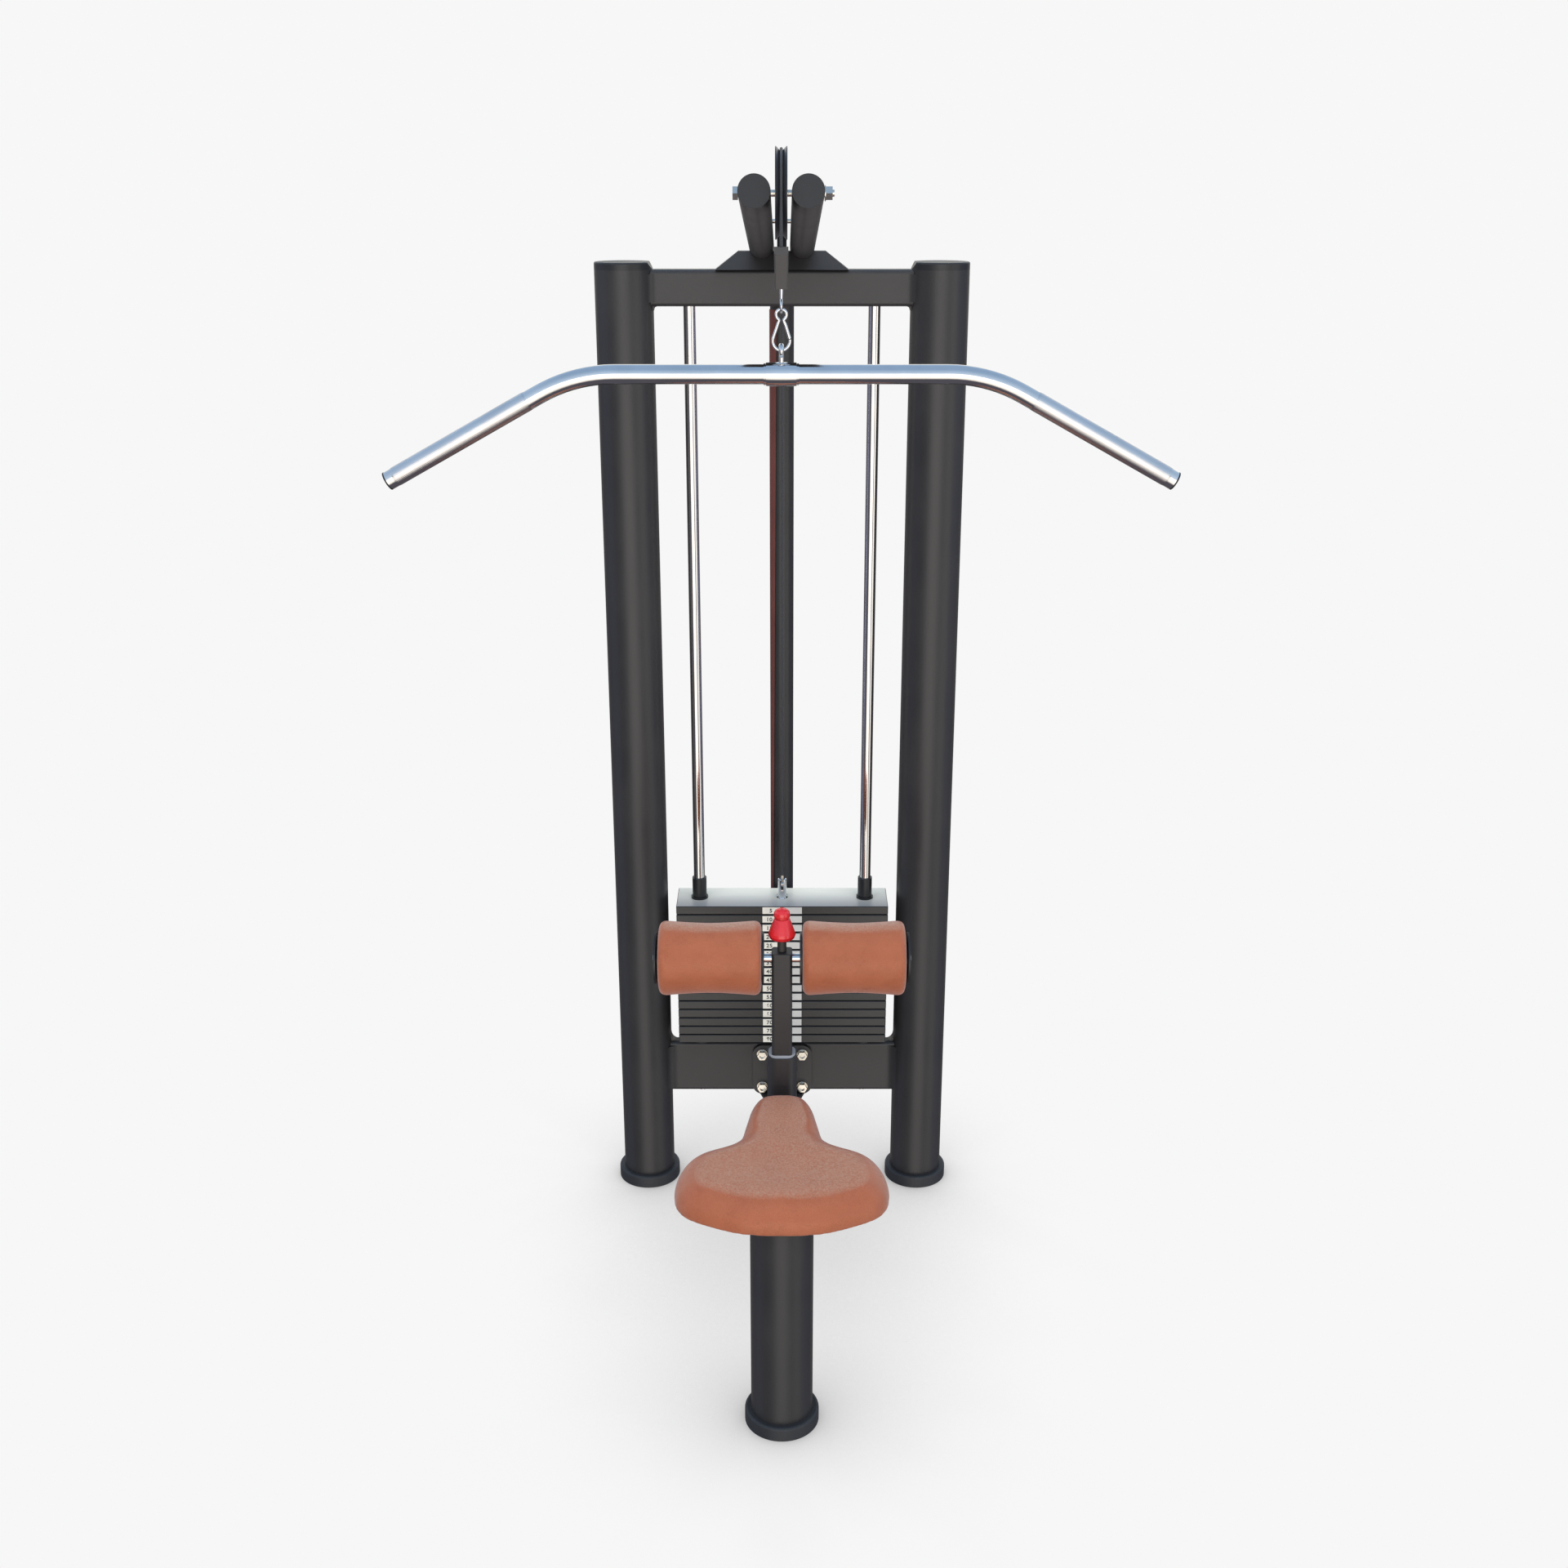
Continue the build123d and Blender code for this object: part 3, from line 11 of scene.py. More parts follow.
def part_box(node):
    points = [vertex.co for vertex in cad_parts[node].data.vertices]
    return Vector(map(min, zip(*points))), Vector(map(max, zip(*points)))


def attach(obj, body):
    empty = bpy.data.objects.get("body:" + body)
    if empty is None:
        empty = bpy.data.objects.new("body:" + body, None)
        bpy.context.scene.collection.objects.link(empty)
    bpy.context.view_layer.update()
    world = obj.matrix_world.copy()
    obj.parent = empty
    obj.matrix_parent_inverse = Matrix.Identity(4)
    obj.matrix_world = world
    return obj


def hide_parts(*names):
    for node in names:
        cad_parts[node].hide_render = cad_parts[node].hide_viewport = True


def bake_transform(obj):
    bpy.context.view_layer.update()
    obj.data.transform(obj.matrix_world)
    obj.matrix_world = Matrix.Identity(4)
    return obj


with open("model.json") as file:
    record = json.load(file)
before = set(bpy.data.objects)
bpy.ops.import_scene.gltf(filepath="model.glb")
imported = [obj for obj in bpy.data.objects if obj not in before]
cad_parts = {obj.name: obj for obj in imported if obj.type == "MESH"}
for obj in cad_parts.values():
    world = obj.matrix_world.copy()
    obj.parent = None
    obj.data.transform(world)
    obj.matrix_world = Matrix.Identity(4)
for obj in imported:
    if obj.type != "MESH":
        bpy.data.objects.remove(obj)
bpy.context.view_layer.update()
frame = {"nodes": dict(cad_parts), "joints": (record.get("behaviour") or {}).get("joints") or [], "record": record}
NODES = frame["nodes"]
JOINTS = {joint["name"]: joint for joint in frame["joints"]}
SLOTS = {part["node"]: part["material_slot"] for part in frame["record"]["subparts"]}

# ---------------------------------------------------------------- camera
CAMERA_BEHIND = 3.498       # from the plane of the uprights
CAMERA_HEIGHT = 2.204
CAMERA_PITCH = 19.6         # degrees below the horizon
CAMERA_LENS = 39.73
CAMERA_SENSOR = 36.0


def middle(node):
    low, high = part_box(node)
    return (low + high) / 2


UPRIGHT_Y = middle("left_upright").y


def make_camera():
    data = bpy.data.cameras.new("camera")
    data.lens = CAMERA_LENS
    data.sensor_width = CAMERA_SENSOR
    camera = bpy.data.objects.new("camera", data)
    camera.location = (0.004, UPRIGHT_Y - CAMERA_BEHIND, CAMERA_HEIGHT)
    camera.rotation_euler = (math.radians(90 - CAMERA_PITCH), 0, 0)
    bpy.context.scene.collection.objects.link(camera)
    bpy.context.scene.camera = camera


# ---------------------------------------------------------------- node helper
class Nodes:
    """Short way to write a node tree: every method returns the new node's first output."""

    def __init__(self, tree):
        self.tree = tree
        tree.nodes.clear()

    def add(self, kind, settings=None, **inputs):
        node = self.tree.nodes.new(kind)
        for key, value in (settings or {}).items():
            setattr(node, key, value)
        for key, value in inputs.items():
            name = key.replace("_", " ")
            socket = node.inputs[int(key[1:])] if key[0] == "i" and key[1:].isdigit() else node.inputs[name]
            self.put(socket, value)
        return node

    def put(self, socket, value):
        if isinstance(value, bpy.types.NodeSocket):
            self.tree.links.new(value, socket)
        elif isinstance(value, bpy.types.Node):
            self.tree.links.new(value.outputs[0], socket)
        else:
            socket.default_value = value

    def math(self, operation, a, b=0.0, c=0.0, clamp=False):
        node = self.add("ShaderNodeMath", {"operation": operation, "use_clamp": clamp}, i0=a, i1=b, i2=c)
        return node.outputs[0]

    def spread(self, value, low, high, out_low=0.0, out_high=1.0, smooth=False):
        """Maps a value from one range to another, clamped."""
        kind = "SMOOTHSTEP" if smooth else "LINEAR"
        node = self.add("ShaderNodeMapRange", {"interpolation_type": kind}, Value=value)
        for name, number in (("From Min", low), ("From Max", high), ("To Min", out_low), ("To Max", out_high)):
            node.inputs[name].default_value = number
        return node.outputs[0]

    def mix(self, factor, a, b, blend="MIX"):
        node = self.add("ShaderNodeMix", {"data_type": "RGBA", "blend_type": blend})
        self.put(node.inputs[0], factor)
        self.put(node.inputs[6], a)
        self.put(node.inputs[7], b)
        return node.outputs[2]

    def place(self):
        """Object coordinates, which are metres in the row frame."""
        return self.add("ShaderNodeTexCoord").outputs["Object"]

    def noise(self, where, scale, detail=3.0, roughness=0.5):
        node = self.add("ShaderNodeTexNoise", None, Vector=where, Scale=scale, Detail=detail, Roughness=roughness)
        return node.outputs["Fac"]

    def bump(self, height, distance, strength=1.0, normal=None):
        node = self.add("ShaderNodeBump", None, Height=height, Distance=distance, Strength=strength)
        if normal is not None:
            self.put(node.inputs["Normal"], normal)
        return node.outputs[0]


def rgb(red, green, blue):
    return (red, green, blue, 1.0)


def principled(name, build, **fixed):
    """A material whose shader has fixed numbers, plus what build(nodes) returns for the linked sockets."""
    material = bpy.data.materials.new(name)
    material.use_nodes = True
    nodes = Nodes(material.node_tree)
    shader = nodes.add("ShaderNodeBsdfPrincipled")
    for key, value in fixed.items():
        shader.inputs[key.replace("_", " ")].default_value = value
    for key, value in build(nodes).items():
        nodes.put(shader.inputs[key.replace("_", " ")], value)
    output = nodes.add("ShaderNodeOutputMaterial")
    nodes.tree.links.new(shader.outputs[0], output.inputs["Surface"])
    return material


# ---------------------------------------------------------------- materials
def coated(dark, light, rough, peel_scale, peel_depth):
    """Powder coat or moulded skin: mottled colour, uneven gloss and fine orange peel."""

    def build(n):
        where = n.place()
        patches = n.noise(where, 9, 5)
        specks = n.noise(where, 320, 2)
        colour = n.mix(n.spread(patches, 0.3, 0.7), dark, light)
        gloss = n.math("ADD", n.spread(patches, 0.3, 0.7, rough - 0.035, rough + 0.035), n.spread(specks, 0.2, 0.8, -0.03, 0.03))
        peel = n.bump(n.noise(where, peel_scale, 2), peel_depth)
        return {"Base_Color": colour, "Roughness": gloss, "Normal": peel}

    return build


def polished(colour, rough, scratch):
    """Plated metal: faint haze and hairline scratches round the part."""

    def build(n):
        where = n.place()
        haze = n.noise(where, 24, 4)
        stretched = n.add("ShaderNodeMapping", None, Vector=where, Scale=(30, 30, 900))
        hair = n.noise(stretched, 1.0, 2)
        tint = n.mix(n.spread(haze, 0.35, 0.65), colour, [c * 0.93 for c in colour[:3]] + [1.0])
        gloss = n.spread(haze, 0.3, 0.7, rough * 0.8, rough * 1.25)
        return {"Base_Color": tint, "Roughness": gloss, "Normal": n.bump(hair, scratch)}

    return build


def leather(n):
    """Upholstery leather: pebbled grain with creases, darker pits, and up-facing tops lightened with a painted sheen.
    """
    where = n.place()
    warp = n.add("ShaderNodeTexNoise", None, Vector=where, Scale=180.0, Detail=2.0)
    shifted = n.add("ShaderNodeVectorMath", {"operation": "MULTIPLY_ADD"}, i0=warp.outputs["Color"], i1=(0.003, 0.003, 0.003), i2=where)
    cells = n.add("ShaderNodeTexVoronoi", {"feature": "DISTANCE_TO_EDGE"}, Vector=shifted.outputs[0], Scale=420.0)
    grain = n.spread(cells.outputs["Distance"], 0.0, 0.16, smooth=True)
    fine = n.noise(where, 1500, 2)
    patches = n.noise(where, 22, 5, 0.6)
    facing = n.add("ShaderNodeSeparateXYZ", None, Vector=n.add("ShaderNodeNewGeometry").outputs["Normal"]).outputs["Z"]
    # Painted sheen: up-facing tops are lightened towards a pale tan, broken up by noise, standing in for the light they
    # catch.
    sheen_breakup = n.spread(n.noise(where, 260, 3), 0.35, 0.65, 0.3, 1.0)
    top_sheen_mask = n.math("MULTIPLY", n.spread(facing, 0.92, 1.0, smooth=True), sheen_breakup)
    base = n.mix(n.spread(patches, 0.3, 0.7), rgb(0.365, 0.100, 0.039), rgb(0.418, 0.120, 0.048))
    base = n.mix(n.math("MULTIPLY", top_sheen_mask, 0.62), base, rgb(0.52, 0.335, 0.23))
    base = n.mix(n.spread(grain, 0.0, 1.0, 0.35, 0.0), base, rgb(0.23, 0.052, 0.022))
    gloss = n.math("ADD", n.spread(grain, 0.0, 1.0, 0.46, 0.29), n.spread(patches, 0.3, 0.7, -0.03, 0.03))
    height = n.math("ADD", grain, n.math("MULTIPLY", fine, 0.25))
    return {"Base_Color": base, "Roughness": gloss, "Normal": n.bump(height, 0.00022, 0.7)}


def printed_metal(n):
    """Number strip: pale brushed plate with a faint horizontal lay."""
    where = n.place()
    stretched = n.add("ShaderNodeMapping", None, Vector=where, Scale=(60, 60, 2600))
    lay = n.noise(stretched, 1.0, 2)
    across = n.add("ShaderNodeSeparateXYZ", None, Vector=where).outputs["X"]
    cream = n.mix(n.spread(n.noise(where, 60, 3), 0.3, 0.7), rgb(0.86, 0.83, 0.74), rgb(0.76, 0.74, 0.67))
    colour = n.mix(n.spread(across, -0.015, 0.015, smooth=True), cream, rgb(0.60, 0.60, 0.58))
    return {"Base_Color": colour, "Roughness": n.spread(lay, 0.3, 0.7, 0.30, 0.44), "Normal": n.bump(lay, 0.00004)}


def steel_rope(n):
    """Dark plastic coat that lets the lay of the strands show through."""
    where = n.place()
    axes = n.add("ShaderNodeSeparateXYZ", None, Vector=where)
    run = n.math("ADD", axes.outputs["Z"], axes.outputs["Y"])
    turn = n.math("MULTIPLY_ADD", axes.outputs["X"], 900.0, n.math("MULTIPLY", run, 1300.0))
    strands = n.math("ABSOLUTE", n.math("SINE", turn))
    colour = n.mix(strands, rgb(0.018, 0.018, 0.020), rgb(0.052, 0.052, 0.056))
    return {"Base_Color": colour, "Roughness": n.spread(strands, 0, 1, 0.55, 0.36), "Normal": n.bump(strands, 0.0004)}


def plywood(n):
    """Cut edge and face of birch plywood: stacked veneers and long grain."""
    where = n.place()
    height = n.add("ShaderNodeSeparateXYZ", None, Vector=where).outputs["Z"]
    plies = n.math("ABSOLUTE", n.math("SINE", n.math("MULTIPLY", height, math.pi / 0.0024)))
    long_grain = n.add("ShaderNodeMapping", None, Vector=where, Scale=(420, 14, 60))
    grain = n.noise(long_grain, 1.0, 5, 0.6)
    colour = n.mix(n.spread(grain, 0.3, 0.7), rgb(0.34, 0.20, 0.095), rgb(0.50, 0.33, 0.18))
    colour = n.mix(n.spread(plies, 0.15, 0.5, 0.45, 0.0), colour, rgb(0.16, 0.085, 0.04))
    return {"Base_Color": colour, "Roughness": n.spread(grain, 0.3, 0.7, 0.55, 0.72), "Normal": n.bump(grain, 0.0002)}


def red_gloss(n):
    """Moulded glossy plastic with a slightly deeper colour in patches."""
    where = n.place()
    patches = n.noise(where, 45, 3)
    colour = n.mix(n.spread(patches, 0.3, 0.7), rgb(0.58, 0.010, 0.016), rgb(0.70, 0.018, 0.024))
    gloss = n.spread(n.noise(where, 200, 3), 0.3, 0.7, 0.20, 0.30)
    return {"Base_Color": colour, "Roughness": gloss, "Normal": n.bump(patches, 0.0006)}


def steel_top_and_glare(n):
    """Painted plate whose open top is bright steel, with a painted reflection running from dim grey at its front to
    pale cream at its rear edge.
    """
    where = n.place()
    axes = n.add("ShaderNodeSeparateXYZ", None, Vector=where)
    facing = n.add("ShaderNodeSeparateXYZ", None, Vector=n.add("ShaderNodeNewGeometry").outputs["Normal"]).outputs["Z"]
    top = n.spread(facing, 0.85, 0.95)
    low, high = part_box("stack_top_plate")
    # Painted reflection: the top face runs from dim grey at its front edge to pale cream at its rear edge, standing in
    # for the light it reflects.
    glare_ramp = n.spread(axes.outputs["Y"], low.y, high.y, smooth=True)
    grain = n.spread(n.noise(n.add("ShaderNodeMapping", None, Vector=where, Scale=(6, 240, 60)), 1.0, 4), 0.3, 0.7)
    steel_and_glare = n.mix(glare_ramp, rgb(0.27, 0.275, 0.28), rgb(0.98, 0.94, 0.79))
    steel_and_glare = n.mix(n.math("MULTIPLY", grain, 0.12), steel_and_glare, rgb(0.45, 0.44, 0.42))
    paint = n.mix(n.spread(n.noise(where, 9, 5), 0.3, 0.7), rgb(0.0175, 0.0168, 0.0168), rgb(0.0215, 0.0205, 0.0200))
    height = n.bump(n.noise(where, 700, 2), 0.00006)
    return {"Base_Color": n.mix(top, paint, steel_and_glare), "Roughness": n.spread(grain, 0, 1, 0.30, 0.38), "Normal": height}


def ink(n):
    where = n.place()
    colour = n.mix(n.noise(where, 500, 2), rgb(0.010, 0.010, 0.011), rgb(0.030, 0.029, 0.028))
    return {"Base_Color": colour, "Roughness": n.spread(n.noise(where, 300, 2), 0.3, 0.7, 0.5, 0.65)}


def make_materials():
    paint = coated(rgb(0.0235, 0.0225, 0.0235), rgb(0.0290, 0.0272, 0.0270), 0.40, 900, 0.00006)
    plates = coated(rgb(0.0175, 0.0168, 0.0168), rgb(0.0215, 0.0205, 0.0200), 0.36, 700, 0.00008)
    moulded = coated(rgb(0.012, 0.012, 0.013), rgb(0.018, 0.018, 0.019), 0.42, 500, 0.0001)
    rubber = coated(rgb(0.018, 0.019, 0.022), rgb(0.026, 0.027, 0.030), 0.55, 420, 0.00016)
    nylon = coated(rgb(0.014, 0.015, 0.018), rgb(0.022, 0.023, 0.027), 0.30, 600, 0.00006)
    grey = coated(rgb(0.30, 0.31, 0.33), rgb(0.37, 0.38, 0.40), 0.45, 500, 0.0001)
    brown = coated(rgb(0.120, 0.034, 0.026), rgb(0.160, 0.046, 0.034), 0.50, 500, 0.0001)
    buffer = coated(rgb(0.045, 0.040, 0.036), rgb(0.056, 0.050, 0.045), 0.55, 420, 0.00016)
    return {
        "steel_top_and_glare": principled("steel_top_and_glare", steel_top_and_glare, IOR=1.55),
        "buffer": principled("buffer", buffer),
        "frame_paint": principled("frame_paint", paint, IOR=1.5),
        "plate_paint": principled("plate_paint", plates, IOR=1.55),
        "black_plastic": principled("black_plastic", moulded),
        "black_rubber": principled("black_rubber", rubber),
        "nylon": principled("nylon", nylon),
        "grey_plastic": principled("grey_plastic", grey),
        "brown_trim": principled("brown_trim", brown),
        "bright_chrome": principled("bright_chrome", polished(rgb(0.80, 0.79, 0.78), 0.11, 0.00002), Metallic=1.0),
        "knurled_chrome": principled("knurled_chrome", polished(rgb(0.80, 0.79, 0.78), 0.10, 0.00002), Metallic=1.0),
        "knurl": principled("knurl", polished(rgb(0.74, 0.73, 0.73), 0.20, 0.00002), Metallic=1.0),
        "zinc_steel": principled("zinc_steel", polished(rgb(0.78, 0.74, 0.67), 0.24, 0.00004), Metallic=1.0),
        "label_metal": principled("label_metal", printed_metal, Metallic=0.35),
        "tan_leather": principled("tan_leather", leather, Sheen_Weight=0.30, Sheen_Roughness=0.4, IOR=1.47),
        "red_plastic": principled("red_plastic", red_gloss, Coat_Weight=0.5, Coat_Roughness=0.08),
        "steel_cable": principled("steel_cable", steel_rope),
        "plywood": principled("plywood", plywood),
        "ink": principled("ink", ink),
    }


MATERIALS = make_materials()


OWN_MATERIAL = {"stack_top_plate": "steel_top_and_glare", "cable_stop": "buffer", "release_rod": "buffer"}


def paint_cad_nodes():
    for name, node in NODES.items():
        material = MATERIALS[OWN_MATERIAL.get(name, SLOTS[name])]
        node.data.materials.clear()
        node.data.materials.append(material)


# ---------------------------------------------------------------- mesh helpers
def mesh_piece(name, verts, faces, material, body):
    mesh = bpy.data.meshes.new(name)
    mesh.from_pydata([tuple(v) for v in verts], [], faces)
    mesh.update()
    return adopt(name, mesh, material, body)


def adopt(name, mesh, material, body):
    """Turns a finished mesh into a piece of one body, smooth shaded."""
    piece = bpy.data.objects.new(name, mesh)
    bpy.context.scene.collection.objects.link(piece)
    mesh.materials.clear()
    mesh.materials.append(MATERIALS[material])
    for polygon in mesh.polygons:
        polygon.use_smooth = True
    if body is not None:
        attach(piece, body)
    return piece


def ring_faces(rows, around, closed_rows=False):
    """Quads between consecutive rows of the same number of points."""
    faces = []
    for row in range(rows if closed_rows else rows - 1):
        base = row * around
        ahead = ((row + 1) % rows) * around
        faces += [(base + i, base + (i + 1) % around, ahead + (i + 1) % around, ahead + i) for i in range(around)]
    return faces


def tube_along(points, radius, around=16, closed=False):
    """Vertices and faces of a round tube through a list of points."""
    count = len(points)
    verts = []
    side = None
    for i, point in enumerate(points):
        before = points[i - 1] if closed or i else point
        after = points[(i + 1) % count] if closed or i < count - 1 else point
        along = (after - before).normalized()
        side = along.orthogonal() if side is None else side - along * side.dot(along)
        side.normalize()
        other = along.cross(side)
        for k in range(around):
            turn = 2 * math.pi * k / around
            verts.append(point + radius * (math.cos(turn) * side + math.sin(turn) * other))
    return verts, ring_faces(count, around, closed)


# ---------------------------------------------------------------- soft pieces
SWELL = 0.0018              # how much smaller than the finished pad a piece starts
SWELL_CAP = 0.0036          # most a point may move as the pad swells
SEAT_CROWN = 0.498
SEAT_HALF = [(0, 495), (23, 497), (48, 509), (61.5, 536), (67.5, 563), (73, 593), (78.5, 622), (86.5, 642)]
SEAT_HALF += [(100.5, 657), (121.5, 671.5), (144.5, 685), (163, 699.5), (179.5, 722), (191, 755), (194.6, 790)]
SEAT_HALF += [(192, 815), (186.9, 835), (172, 857), (151.7, 872), (131.9, 882.6), (103, 896), (71.7, 906.7), (36, 911)]
SEAT_HALF += [(0, 912)]
SEAT_GROWTH = 0.0022        # evening out the mesh draws its edge in by about this much
RIM_STEPS = (0.0, 0.0006, 0.0018, 0.004, 0.007, 0.011, 0.016, 0.021, 0.024, 0.027)
RIM_WIDE = 0.023            # the cover wraps down round the board over this width
BOARD_INSET = 0.030
BOLT_HEAD_R = 0.007
BOLT_HOLE_R = 0.0042
RIM_ABOVE = 0.0045          # from the board's underside up to the lowest point of the cover


def smooth_loop(points, spacing):
    """Closed curve through the points with even spacing, as an array."""
    closed = np.array(points + points[:1])
    count = len(points)
    fine = []
    for i in range(count):
        a, b, c, d = (closed[(i + k) % count] for k in (-1, 0, 1, 2))
        for t in np.linspace(0, 1, 12, endpoint=False):
            fine.append(0.5 * (2 * b + (c - a) * t + (2 * a - 5 * b + 4 * c - d) * t**2 + (3 * b - a - 3 * c + d) * t**3))
    fine = np.array(fine)
    for _ in range(6):
        fine = (np.roll(fine, 1, 0) + 2 * fine + np.roll(fine, -1, 0)) / 4
    steps = np.linalg.norm(np.roll(fine, -1, 0) - fine, axis=1)
    run = np.concatenate([[0], np.cumsum(steps)])
    total = run[-1]
    at = np.linspace(0, total, int(total / spacing), endpoint=False)
    full = np.vstack([fine, fine[:1]])
    return np.stack([np.interp(at, run, full[:, 0]), np.interp(at, run, full[:, 1])], axis=1)


def seat_loop():
    right = [(x / 1000, UPRIGHT_Y - ahead / 1000) for x, ahead in SEAT_HALF]
    left = [(-x, y) for x, y in reversed(right[1:-1])]
    return smooth_loop(right + left, 0.003)


def inward(loop):
    """Unit vectors pointing into a closed curve."""
    along = np.roll(loop, -1, 0) - np.roll(loop, 1, 0)
    along /= np.linalg.norm(along, axis=1)[:, None]
    area = np.sum(loop[:, 0] * np.roll(loop[:, 1], -1) - loop[:, 1] * np.roll(loop[:, 0], -1))
    return math.copysign(1, area) * np.stack([-along[:, 1], along[:, 0]], axis=1)


def depth_inside(points, loop):
    """Distance of each point to the loop."""
    return np.array([np.min(np.linalg.norm(loop - point, axis=1)) for point in points])


def seat_mesh():
    """Saddle with a bullnose edge: tight round the nose, long and soft towards the rider."""
    loop = seat_loop()
    normal = inward(loop)
    loop = loop - normal * SEAT_GROWTH
    rings = [loop + normal * step for step in RIM_STEPS]
    low, high = loop.min(0), loop.max(0)
    grid = [(x, y) for x in np.arange(low[0], high[0], 0.007) for y in np.arange(low[1], high[1], 0.007)]
    inner = [p for p in grid if point_inside(p, loop) and np.min(np.linalg.norm(loop - p, axis=1)) > 0.031]
    flat = [Vector(p) for ring in rings for p in ring] + [Vector(p) for p in inner]
    edges = [(i, (i + 1) % len(loop)) for i in range(len(loop))]
    verts, _, faces, *_ = delaunay_2d_cdt(flat, edges, [], 1, 1e-6)
    spots = np.array([(v.x, v.y) for v in verts])
    depth = depth_inside(spots, loop)
    ahead = UPRIGHT_Y - spots[:, 1]
    ease = np.clip((ahead - 0.600) / 0.080, 0, 1)
    reach = 0.034 + 0.036 * ease * ease * (3 - 2 * ease)
    share = np.clip(depth / reach, 0, 1)
    board_low, board_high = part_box("seat_board")
    under = board_high.z + 0.0010
    base = board_low.z + RIM_ABOVE + (under - board_low.z - RIM_ABOVE) * np.clip((depth - RIM_WIDE) / 0.003, 0, 1)
    rise = SEAT_CROWN - SWELL - board_low.z - RIM_ABOVE
    top = board_low.z + RIM_ABOVE + rise * (1 - (1 - share) ** 2.3) ** (1 / 2.3)
    dish = 0.0035 * np.exp(-(((ahead - 0.765) / 0.055) ** 2) - (spots[:, 0] / 0.11) ** 2)
    top = top - dish * np.clip(depth / 0.06, 0, 1)
    total = len(verts)
    points = [(x, y, z) for (x, y), z in zip(spots, top)] + [(x, y, z) for (x, y), z in zip(spots, base)]
    quads = [tuple(f) for f in faces] + [tuple(total + i for i in reversed(f)) for f in faces]
    mesh = bpy.data.meshes.new("seat_start")
    mesh.from_pydata(points, [], quads)
    shape = bmesh.new()
    shape.from_mesh(mesh)
    bmesh.ops.remove_doubles(shape, verts=shape.verts, dist=0.0002)
    bmesh.ops.recalc_face_normals(shape, faces=shape.faces)
    shape.to_mesh(mesh)
    shape.free()
    return mesh


def make_seat_board():
    """Plywood board that follows the cushion's outline, drilled for its four bolts."""
    low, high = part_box("seat_board")
    loop = seat_loop()
    bolt_low, bolt_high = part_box("seat_bolts")
    xs = (bolt_low.x + BOLT_HEAD_R, bolt_high.x - BOLT_HEAD_R)
    ys = (bolt_low.y + BOLT_HEAD_R, bolt_high.y - BOLT_HEAD_R)
    holes = [np.array((x, y)) for x in xs for y in ys]
    turns = np.linspace(0, 2 * math.pi, 24, endpoint=False)
    circle = BOLT_HOLE_R * np.stack([np.cos(turns), np.sin(turns)], axis=1)
    flat, edges = [], []
    for ring in [loop + inward(loop) * BOARD_INSET] + [hole + circle for hole in holes]:
        first = len(flat)
        flat += [Vector(p) for p in ring]
        edges += [(first + i, first + (i + 1) % len(ring)) for i in range(len(ring))]
    verts, _, faces, *_ = delaunay_2d_cdt(flat, edges, [], 1, 1e-6)
    spots = np.array([(v.x, v.y) for v in verts])
    solid = [f for f in faces if min(np.linalg.norm(spots[list(f)].mean(0) - hole) for hole in holes) > BOLT_HOLE_R]
    total = len(spots)
    points = [(x, y, z) for z in (low.z, high.z) for x, y in spots]
    shell = [tuple(f) for f in solid] + [tuple(total + i for i in f) for f in solid]
    shell += [(a, b, b + total, a + total) for a, b in edges]
    board = mesh_piece("plywood_board", points, shell, "plywood", "frame")
    shape = bmesh.new()
    shape.from_mesh(board.data)
    bmesh.ops.recalc_face_normals(shape, faces=shape.faces)
    shape.to_mesh(board.data)
    shape.free()
    for polygon in board.data.polygons:
        polygon.use_smooth = False
    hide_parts("seat_board")


def point_inside(point, loop):
    """Even-odd rule."""
    x, y = point
    x0, y0 = loop[:, 0], loop[:, 1]
    x1, y1 = np.roll(x0, -1), np.roll(y0, -1)
    crosses = (y0 > y) != (y1 > y)
    level = np.where(crosses, y1 - y0, 1.0)
    return np.count_nonzero(crosses & (x < (x1 - x0) * (y - y0) / level + x0)) % 2 == 1


ROLLER_BARE = 0.0035        # strip of the spool left bare at the outer end


def roller_mesh(node):
    """Foam sleeve with a shallow waist and soft shoulders."""
    low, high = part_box(node)
    centre = (low + high) / 2
    outer_r = (high.z - low.z) / 2 - SWELL
    start, end = low.x + SWELL / 2, high.x - SWELL / 2
    if centre.x < 0:
        start += ROLLER_BARE
    else:
        end -= ROLLER_BARE
    shoulder, waist, bore = 0.0125, 0.0045, 0.025
    profile = [(start, bore)]
    for turn in np.linspace(0, 90, 9):
        profile.append((start + shoulder * (1 - math.sin(math.radians(turn))), outer_r - shoulder + shoulder * math.cos(math.radians(turn))))
    profile[1:] = sorted(profile[1:], key=lambda p: p[1])
    for t in np.linspace(0, 1, 42)[1:-1]:
        x = start + shoulder + (end - start - 2 * shoulder) * t
        profile.append((x, outer_r - waist * math.sin(math.pi * t)))
    profile += [(start + end - x, r) for x, r in reversed(profile[:10])]
    around = 110
    verts = []
    for x, radius in profile:
        for k in range(around):
            turn = 2 * math.pi * k / around
            verts.append((x, centre.y + radius * math.cos(turn), centre.z + radius * math.sin(turn)))
    mesh = bpy.data.meshes.new("roller_start")
    mesh.from_pydata(verts, [], ring_faces(len(profile), around, True))
    shape = bmesh.new()
    shape.from_mesh(mesh)
    bmesh.ops.recalc_face_normals(shape, faces=shape.faces)
    shape.to_mesh(mesh)
    shape.free()
    return mesh


def coordinates(mesh):
    flat = np.empty(len(mesh.vertices) * 3)
    mesh.vertices.foreach_get("co", flat)
    return flat.reshape(-1, 3)


def applied(piece):
    """The piece's mesh with its modifiers applied."""
    view = bpy.context.evaluated_depsgraph_get()
    return bpy.data.meshes.new_from_object(piece.evaluated_get(view))


